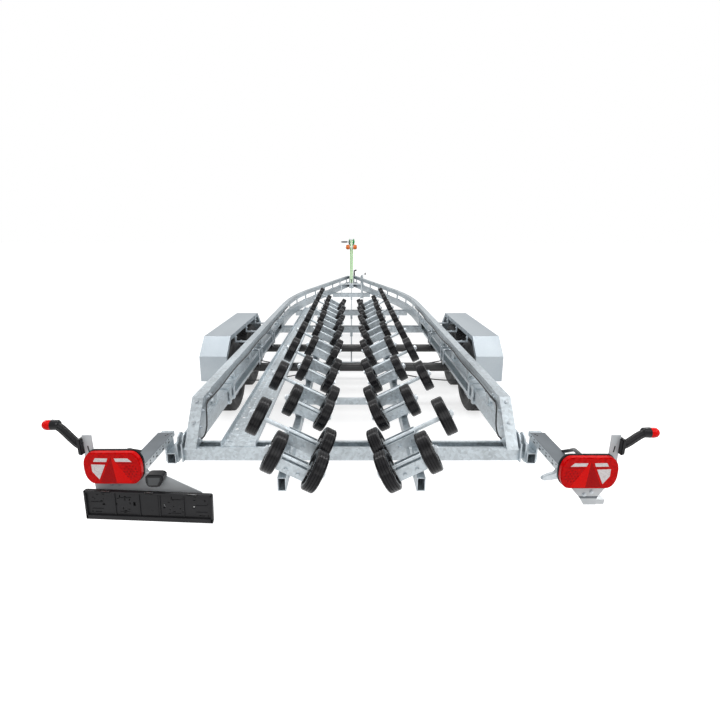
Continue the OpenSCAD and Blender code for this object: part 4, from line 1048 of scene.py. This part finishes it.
# Winch: two pressed side plates on the post's head, a drum with webbing wound on it,
# a gear under a green cover and a cranked handle with a plastic grip.
winch_green = plain("winch_green", (0.005, 0.36, 0.055), 0.3, Specular_IOR_Level=0.2)
grip_black = plain("grip_black", (0.02, 0.02, 0.02), 0.5)
webbing, shade = finish("webbing")
weave = shade.node(
    "ShaderNodeTexWave", {"bands_direction": "X"}, {"Vector": shade.place(), "Scale": 300.0}, "Fac"
)
shade.surface(
    Base_Color=shade.blend(weave, (0.66, 0.96, 0.56), (0.84, 1.0, 0.76)),
    Roughness=0.85,
    Normal=shade.bump(weave, 0.4, 0.0008),
)
post_y, axle_z = 2.7, 1.432
form = bmesh.new()
for x in (-0.036, 0.031):
    cheek = [(post_y - 0.052, 1.386), (post_y + 0.052, 1.386), (post_y + 0.056, 1.440)]
    cheek += [
        (post_y + 0.059 * math.cos(a), axle_z + 0.059 * math.sin(a))
        for a in (0.35, 0.8, 1.2, 1.6, 2.0, 2.4, 2.8)
    ]
    cheek += [(post_y - 0.056, 1.440)]
    prism(form, cheek, "x", x, x + 0.005, 0, 0.001)
prism(
    form,
    [(-0.036, post_y - 0.055), (0.036, post_y - 0.055), (0.036, post_y + 0.055), (-0.036, post_y + 0.055)],
    "z",
    1.380,
    1.386,
    0,
    0.001,
)
centre = (-0.031, post_y, axle_z)
turned(
    form,
    [
        (0.0, 0.0),
        (0.045, 0.0),
        (0.045, 0.002),
        (0.017, 0.003),
        (0.017, 0.059),
        (0.045, 0.060),
        (0.045, 0.062),
        (0.0, 0.062),
    ],
    centre,
    (1, 0, 0),
    32,
    1,
)
coil = [(0.0165, 0.006)] + [
    (0.034 + 0.0005 * (i % 2), 0.006 + 0.005 * i) for i in range(11)
] + [(0.0165, 0.056)]
turned(form, coil, centre, (1, 0, 0), 40, 2)
turned(
    form,
    [
        (0.0, 0.0),
        (0.052, 0.0),
        (0.055, 0.003),
        (0.055, 0.015),
        (0.048, 0.020),
        (0.016, 0.022),
        (0.014, 0.026),
        (0.0, 0.026),
    ],
    (0.036, post_y, axle_z - 0.002),
    (1, 0, 0),
    40,
    0,
)
gear = [
    (0.0, 0.0),
    (0.044, 0.0),
    (0.047, 0.003),
    (0.047, 0.012),
    (0.040, 0.016),
    (0.014, 0.017),
    (0.012, 0.020),
    (0.0, 0.020),
]
turned(form, gear, (-0.036, post_y + 0.006, axle_z - 0.010), (-1, 0, 0), 32, 3)
for spot in (
    (post_y + 0.034, axle_z - 0.012), (post_y - 0.036, axle_z - 0.030), (post_y - 0.030, axle_z + 0.040)
):
    bar(form, [(-0.040, *spot), (0.041, *spot)], 0.006, 12, 1)
bar(form, [(-0.040, post_y, axle_z), (-0.086, post_y, axle_z)], 0.009, 16, 1)
arm = [
    (post_y - 0.150, axle_z - 0.011),
    (post_y - 0.150, axle_z + 0.011),
    (post_y + 0.010, axle_z + 0.013),
    (post_y + 0.010, axle_z - 0.013),
]
prism(form, arm, "x", -0.086, -0.079, 3, 0.002)
turned(
    form,
    [
        (0.0, 0.0),
        (0.009, 0.0),
        (0.013, 0.004),
        (0.014, 0.055),
        (0.012, 0.100),
        (0.008, 0.109),
        (0.0, 0.110),
    ],
    (-0.087, post_y - 0.138, axle_z),
    (-1, 0, 0),
    24,
    3,
)
coats = (winch_green, bolt_zinc, webbing, grip_black)
settle(form, "winch_parts", coats, "frame", "winch", True)
form = bmesh.new()
fall = [
    (post_y - 0.034, 1.424), (post_y - 0.100, 1.366), (post_y - 0.1065, 1.350), (post_y - 0.1065, 1.306)
]
fall += [(post_y - 0.0445, 1.200), (post_y - 0.0445, 0.700)]
strap = [(y - 0.0012, z) for y, z in fall] + [(y + 0.0012, z) for y, z in fall[::-1]]
prism(form, strap, "x", -0.015, 0.015, 0)
bar(form, [(-0.020, post_y - 0.0445, 0.704), (0.020, post_y - 0.0445, 0.704)], 0.004, 10, 2)
hook = [(0.0, post_y - 0.0445, 0.700), (0.0, post_y - 0.048, 0.675)]
hook += [
    (0.0, post_y - 0.058 - 0.016 * math.cos(a), 0.655 - 0.022 * math.sin(a))
    for a in (3.0, 2.4, 1.8, 1.2, 0.6, 0.0, -0.5)
]
bar(form, hook, 0.006, 12, 2)
settle(form, "winch_strap", (webbing, bolt_zinc, grip_black), "frame", None, True)


# Bow rollers: two waisted polyurethane rollers on a spindle through a block on the post.
orange_rubber, shade = finish("orange_rubber")
mottle = shade.noise(30.0, 3.0)
shade.surface(
    Base_Color=shade.blend(mottle, (0.90, 0.22, 0.02), (0.74, 0.16, 0.02)),
    Roughness=0.42,
    Subsurface_Weight=0.1,
    Normal=shade.bump(shade.noise(220.0, 2.0), 0.2, 0.0008),
)
form = bmesh.new()
spindle_y, spindle_z = 2.614, 1.334
for side in (-1, 1):
    shell = [
        (0.010, 0.0),
        (0.030, 0.0),
        (0.036, 0.002),
        (0.0445, 0.014),
        (0.045, 0.030),
        (0.0425, 0.036),
        (0.045, 0.042),
    ]
    shell += [(0.0445, 0.058), (0.036, 0.070), (0.030, 0.072), (0.010, 0.072)]
    turned(form, shell, (side * 0.032, spindle_y, spindle_z), (side, 0, 0), 40, 0)
    turned(
        form,
        [(0.0, 0.0), (0.014, 0.0), (0.014, 0.003), (0.010, 0.003), (0.010, 0.010), (0.0, 0.010)],
        (side * 0.104, spindle_y, spindle_z),
        (side, 0, 0),
        16,
        1,
    )
bar(form, [(-0.108, spindle_y, spindle_z), (0.108, spindle_y, spindle_z)], 0.009, 16, 1)
prism(form, oblong((2.596, 1.310), (2.660, 1.358), 0.006, 3), "x", -0.030, 0.030, 1, 0.001)
settle(form, "bow_roller_pair", (orange_rubber, bolt_zinc), "frame", "bow_rollers", True)


# Winch post: a square tube sprayed pale green, bolted to the zinc portal below it.
post_paint, shade = finish("post_paint")
high = shade.maths("GREATER_THAN", shade.axis("Z"), 0.640)
cells = shade.node("ShaderNodeTexVoronoi", {}, {"Vector": shade.place(), "Scale": 70.0})
# Painted light: the green is paler than the paint, to make up for the little lamp light on the post's
# camera-facing side, and it pales further towards the foot.
painted_light_green = shade.ramp(shade.axis("Z"), [(0.62, (0.84, 1.0, 0.78)), (1.0, (0.60, 0.97, 0.50))])
zinc_skin = shade.blend(cells, (0.66, 0.71, 0.74), (0.80, 0.84, 0.86))
shade.surface(
    Base_Color=shade.blend(high, zinc_skin, painted_light_green),
    Metallic=0.75 - high * 0.75,
    Roughness=0.42 - high * 0.10,
)
dress(post_paint, "winch_post")
foot_bolts = [((x, y, 0.628), (0.0, 0.0, 1.0)) for x in (-0.048, 0.048) for y in (2.657, 2.743)]
foot_bolts += [((x, y, 0.620), (0.0, 0.0, 1.0)) for x in (-0.19, 0.19) for y in (2.665, 2.735)]
bolts("foot_bolts", foot_bolts, 0.017, 0.024)


# Cables: black sheathed cable runs along the inside of each upper rail under clips,
# and hangs down the rear post in a slack bow into the lower rail.
cable_black = plain("cable_black", (0.018, 0.018, 0.02), 0.45)
for side, hand in ((-1, "left"), (1, "right")):
    form = bmesh.new()
    line = [
        (side * (0.8695 + 0.0015 * math.sin(y * 4.0)), y, 0.628 + 0.006 * math.sin(y * 7.0 + side))
        for y in [-3.88 + 0.09 * i for i in range(41)]
    ]
    bar(form, line, 0.0045, 10, 0)
    settle(
        form, "rail_cable_" + hand, (cable_black,), "frame", "wiring"
        if side < 0 else None, True
    )
    drop = [
        (0.8690, -3.882, 0.629), (0.8660, -3.930, 0.610), (0.8540, -3.975, 0.560), (0.8500, -4.005, 0.510)
    ]
    drop += [(0.8580, -4.030, 0.468), (0.8810, -4.048, 0.450)]
    free_cord(
        "rail_drop_" + hand,
        [(side * x, y, z) for x, y, z in drop],
        0.009,
        cable_black,
        "frame",
    )


# Tyres: moulded black rubber. A steel-belted carcass carries five rows of tread
# blocks, and the side walls have a protecting rib and a bead ring.
tyre_rubber, shade = finish("tyre_rubber")
dust = shade.noise(12.0, 5.0)
grain = shade.noise(520.0, 2.0)
shade.surface(
    Base_Color=shade.ramp(
        dust, [(0.35, (0.014, 0.014, 0.015)), (0.62, (0.026, 0.026, 0.027)), (0.85, (0.055, 0.053, 0.05))]
    ),
    Roughness=dust * 0.2 + 0.48,
    Normal=shade.bump(grain, 0.25, 0.0006),
)
wall = [
    (0.178, 0.060),
    (0.178, 0.066),
    (0.190, 0.072),
    (0.192, 0.078),
    (0.205, 0.0875),
    (0.222, 0.0935),
    (0.226, 0.0955),
]
wall += [
    (0.230, 0.0940),
    (0.253, 0.0972),
    (0.276, 0.0965),
    (0.280, 0.0975),
    (0.284, 0.0955),
    (0.300, 0.0900),
    (0.314, 0.0825),
]
wall += [(0.320, 0.0765), (0.3225, 0.0690), (0.3232, 0.0)]
inside = [
    (0.306, 0.0),
    (0.306, 0.0655),
    (0.290, 0.0795),
    (0.253, 0.0855),
    (0.222, 0.0775),
    (0.194, 0.056),
    (0.178, 0.050),
]
carcass = wall + [(r, -h) for r, h in wall[:-1][::-1]]
carcass += [(r, -h) for r, h in inside[::-1][:-1]] + inside
block = bmesh.new()
prism(
    block,
    [(-0.0125, -0.0100), (0.0125, -0.0135), (0.0125, 0.0100), (-0.0125, 0.0135)],
    "z",
    -0.008,
    0.0,
    0,
    0.0012,
)
block_mesh = bpy.data.meshes.new("tread_block")
block.to_mesh(block_mesh)
block.free()
block_piece = bpy.data.objects.new("tread_block", block_mesh)
bpy.context.scene.collection.objects.link(block_piece)
tread_tree, tread_inputs = copier("tread", block_piece, tyre_rubber)
rim_paint, shade = finish("rim_paint")
fleck = shade.noise(300.0, 2.0)
soot = shade.noise(7.0, 4.0)
shade.surface(
    Base_Color=shade.blend(soot, (0.38, 0.40, 0.42), (0.56, 0.58, 0.60)),
    Metallic=0.65,
    Roughness=fleck * 0.1 + 0.28,
)
for side, hand in ((-1, "left"), (1, "right")):
    for row, y in (("front", -1.69), ("rear", -2.43)):
        centre = Vector((side * 1.15, y, 0.33))
        form = bmesh.new()
        turned(form, carcass, centre, (1, 0, 0), 96, 0)
        place = "_" + row + "_" + hand
        settle(
            form, "tyre_wall" + place, (tyre_rubber,), "wheel" + place, "tyre" + place, True
        )
        spots = []
        for rib, across in enumerate((-0.058, -0.029, 0.0, 0.029, 0.058)):
            radius = 0.3299 if abs(across) < 0.05 else 0.3285
            for k in range(64):
                a = 2 * math.pi * (k + 0.5 * (rib % 2)) / 64
                out = Vector((0.0, math.cos(a), math.sin(a)))
                spots.append((tuple(centre + Vector((across, 0, 0)) + out * radius), tuple(out)))
        tread = copies("tyre_tread" + place, spots, tread_tree, tread_inputs, "wheel" + place)
        dress(rim_paint, "rim" + place)
bpy.data.objects.remove(block_piece)


# Axles: black painted rubber torsion tubes, held to the rails by U-bolts. Steel cables
# in black sheaths run from the compensator plate to each brake. Studs hold the wheels,
# and bolts hold the mudguards to their stays.
axle_paint, shade = finish("axle_paint")
dirt = shade.noise(10.0, 5.0)
shade.surface(
    Base_Color=shade.ramp(dirt, [(0.4, (0.012, 0.012, 0.013)), (0.75, (0.035, 0.034, 0.033))]),
    Roughness=dirt * 0.3 + 0.25,
    Coat_Weight=0.2,
)
dress(axle_paint, "axle_front", "axle_rear")
form = bmesh.new()
for side in (-1, 1):
    for wheel_y, near in ((-1.69, -1.90), (-2.43, -1.92)):
        start = Vector((side * 0.131, near, 0.311))
        end = Vector((side * 1.040, wheel_y - 0.055, 0.290))
        bar(form, [start - Vector((side * 0.028, 0, 0)), start + (end - start) * 0.04], 0.009)
        sags = ((0, 0), (0.04, 0.003), (0.2, 0.030), (0.45, 0.050), (0.7, 0.042), (0.9, 0.016), (1, 0))
        route = [start.lerp(end, t) - Vector((0, 0, sag)) for t, sag in sags]
        name = "brake_cable_" + ("front" if wheel_y > -2 else "rear") + ("_left" if side < 0 else "_right")
        free_cord(name, route, 0.011, cable_black, "frame")
for side in (-1, 1):
    for tube_y in (-1.5227, -2.2627):
        for dy in (-0.062, 0.062):
            loop = [
                (side * 0.870, tube_y + dy, 0.405),
                (side * 0.868, tube_y + dy, 0.530),
                (side * 0.870, tube_y + dy, 0.543),
                (side * 0.877, tube_y + dy, 0.547),
            ]
            loop += [
                (side * 0.943, tube_y + dy, 0.547),
                (side * 0.950, tube_y + dy, 0.543),
                (side * 0.952, tube_y + dy, 0.530),
                (side * 0.950, tube_y + dy, 0.405),
            ]
            bar(form, loop, 0.006, 10)
settle(form, "axle_fastenings", (bolt_zinc,), "frame", None, True)
for side, hand in ((-1, "left"), (1, "right")):
    for row, y in (("front", -1.69), ("rear", -2.43)):
        studs = []
        for k in range(5):
            a = 2 * math.pi * k / 5
            studs.append(
                (
                    (side * 1.182, y + 0.056 * math.sin(a), 0.33 - side * 0.056 * math.cos(a)),
                    (side, 0.0, 0.0),
                )
            )
        bolts("wheel_studs_" + row + "_" + hand, studs, 0.015, 0.019, "wheel_" + row + "_" + hand)
stay_bolts = []
for side in (-1, 1):
    for y in (-2.49, -2.06, -1.63):
        stay_bolts.append(((side * 0.990, y, 0.670), (0.0, 0.0, 1.0)))
        stay_bolts.append(((side * 1.036, y, 0.705), (-side, 0.0, 0.0)))
        stay_bolts.append(((side * 1.042, y, 0.728), (side, 0.0, 0.0)))
bolts("stay_bolts", stay_bolts, 0.017, 0.024)
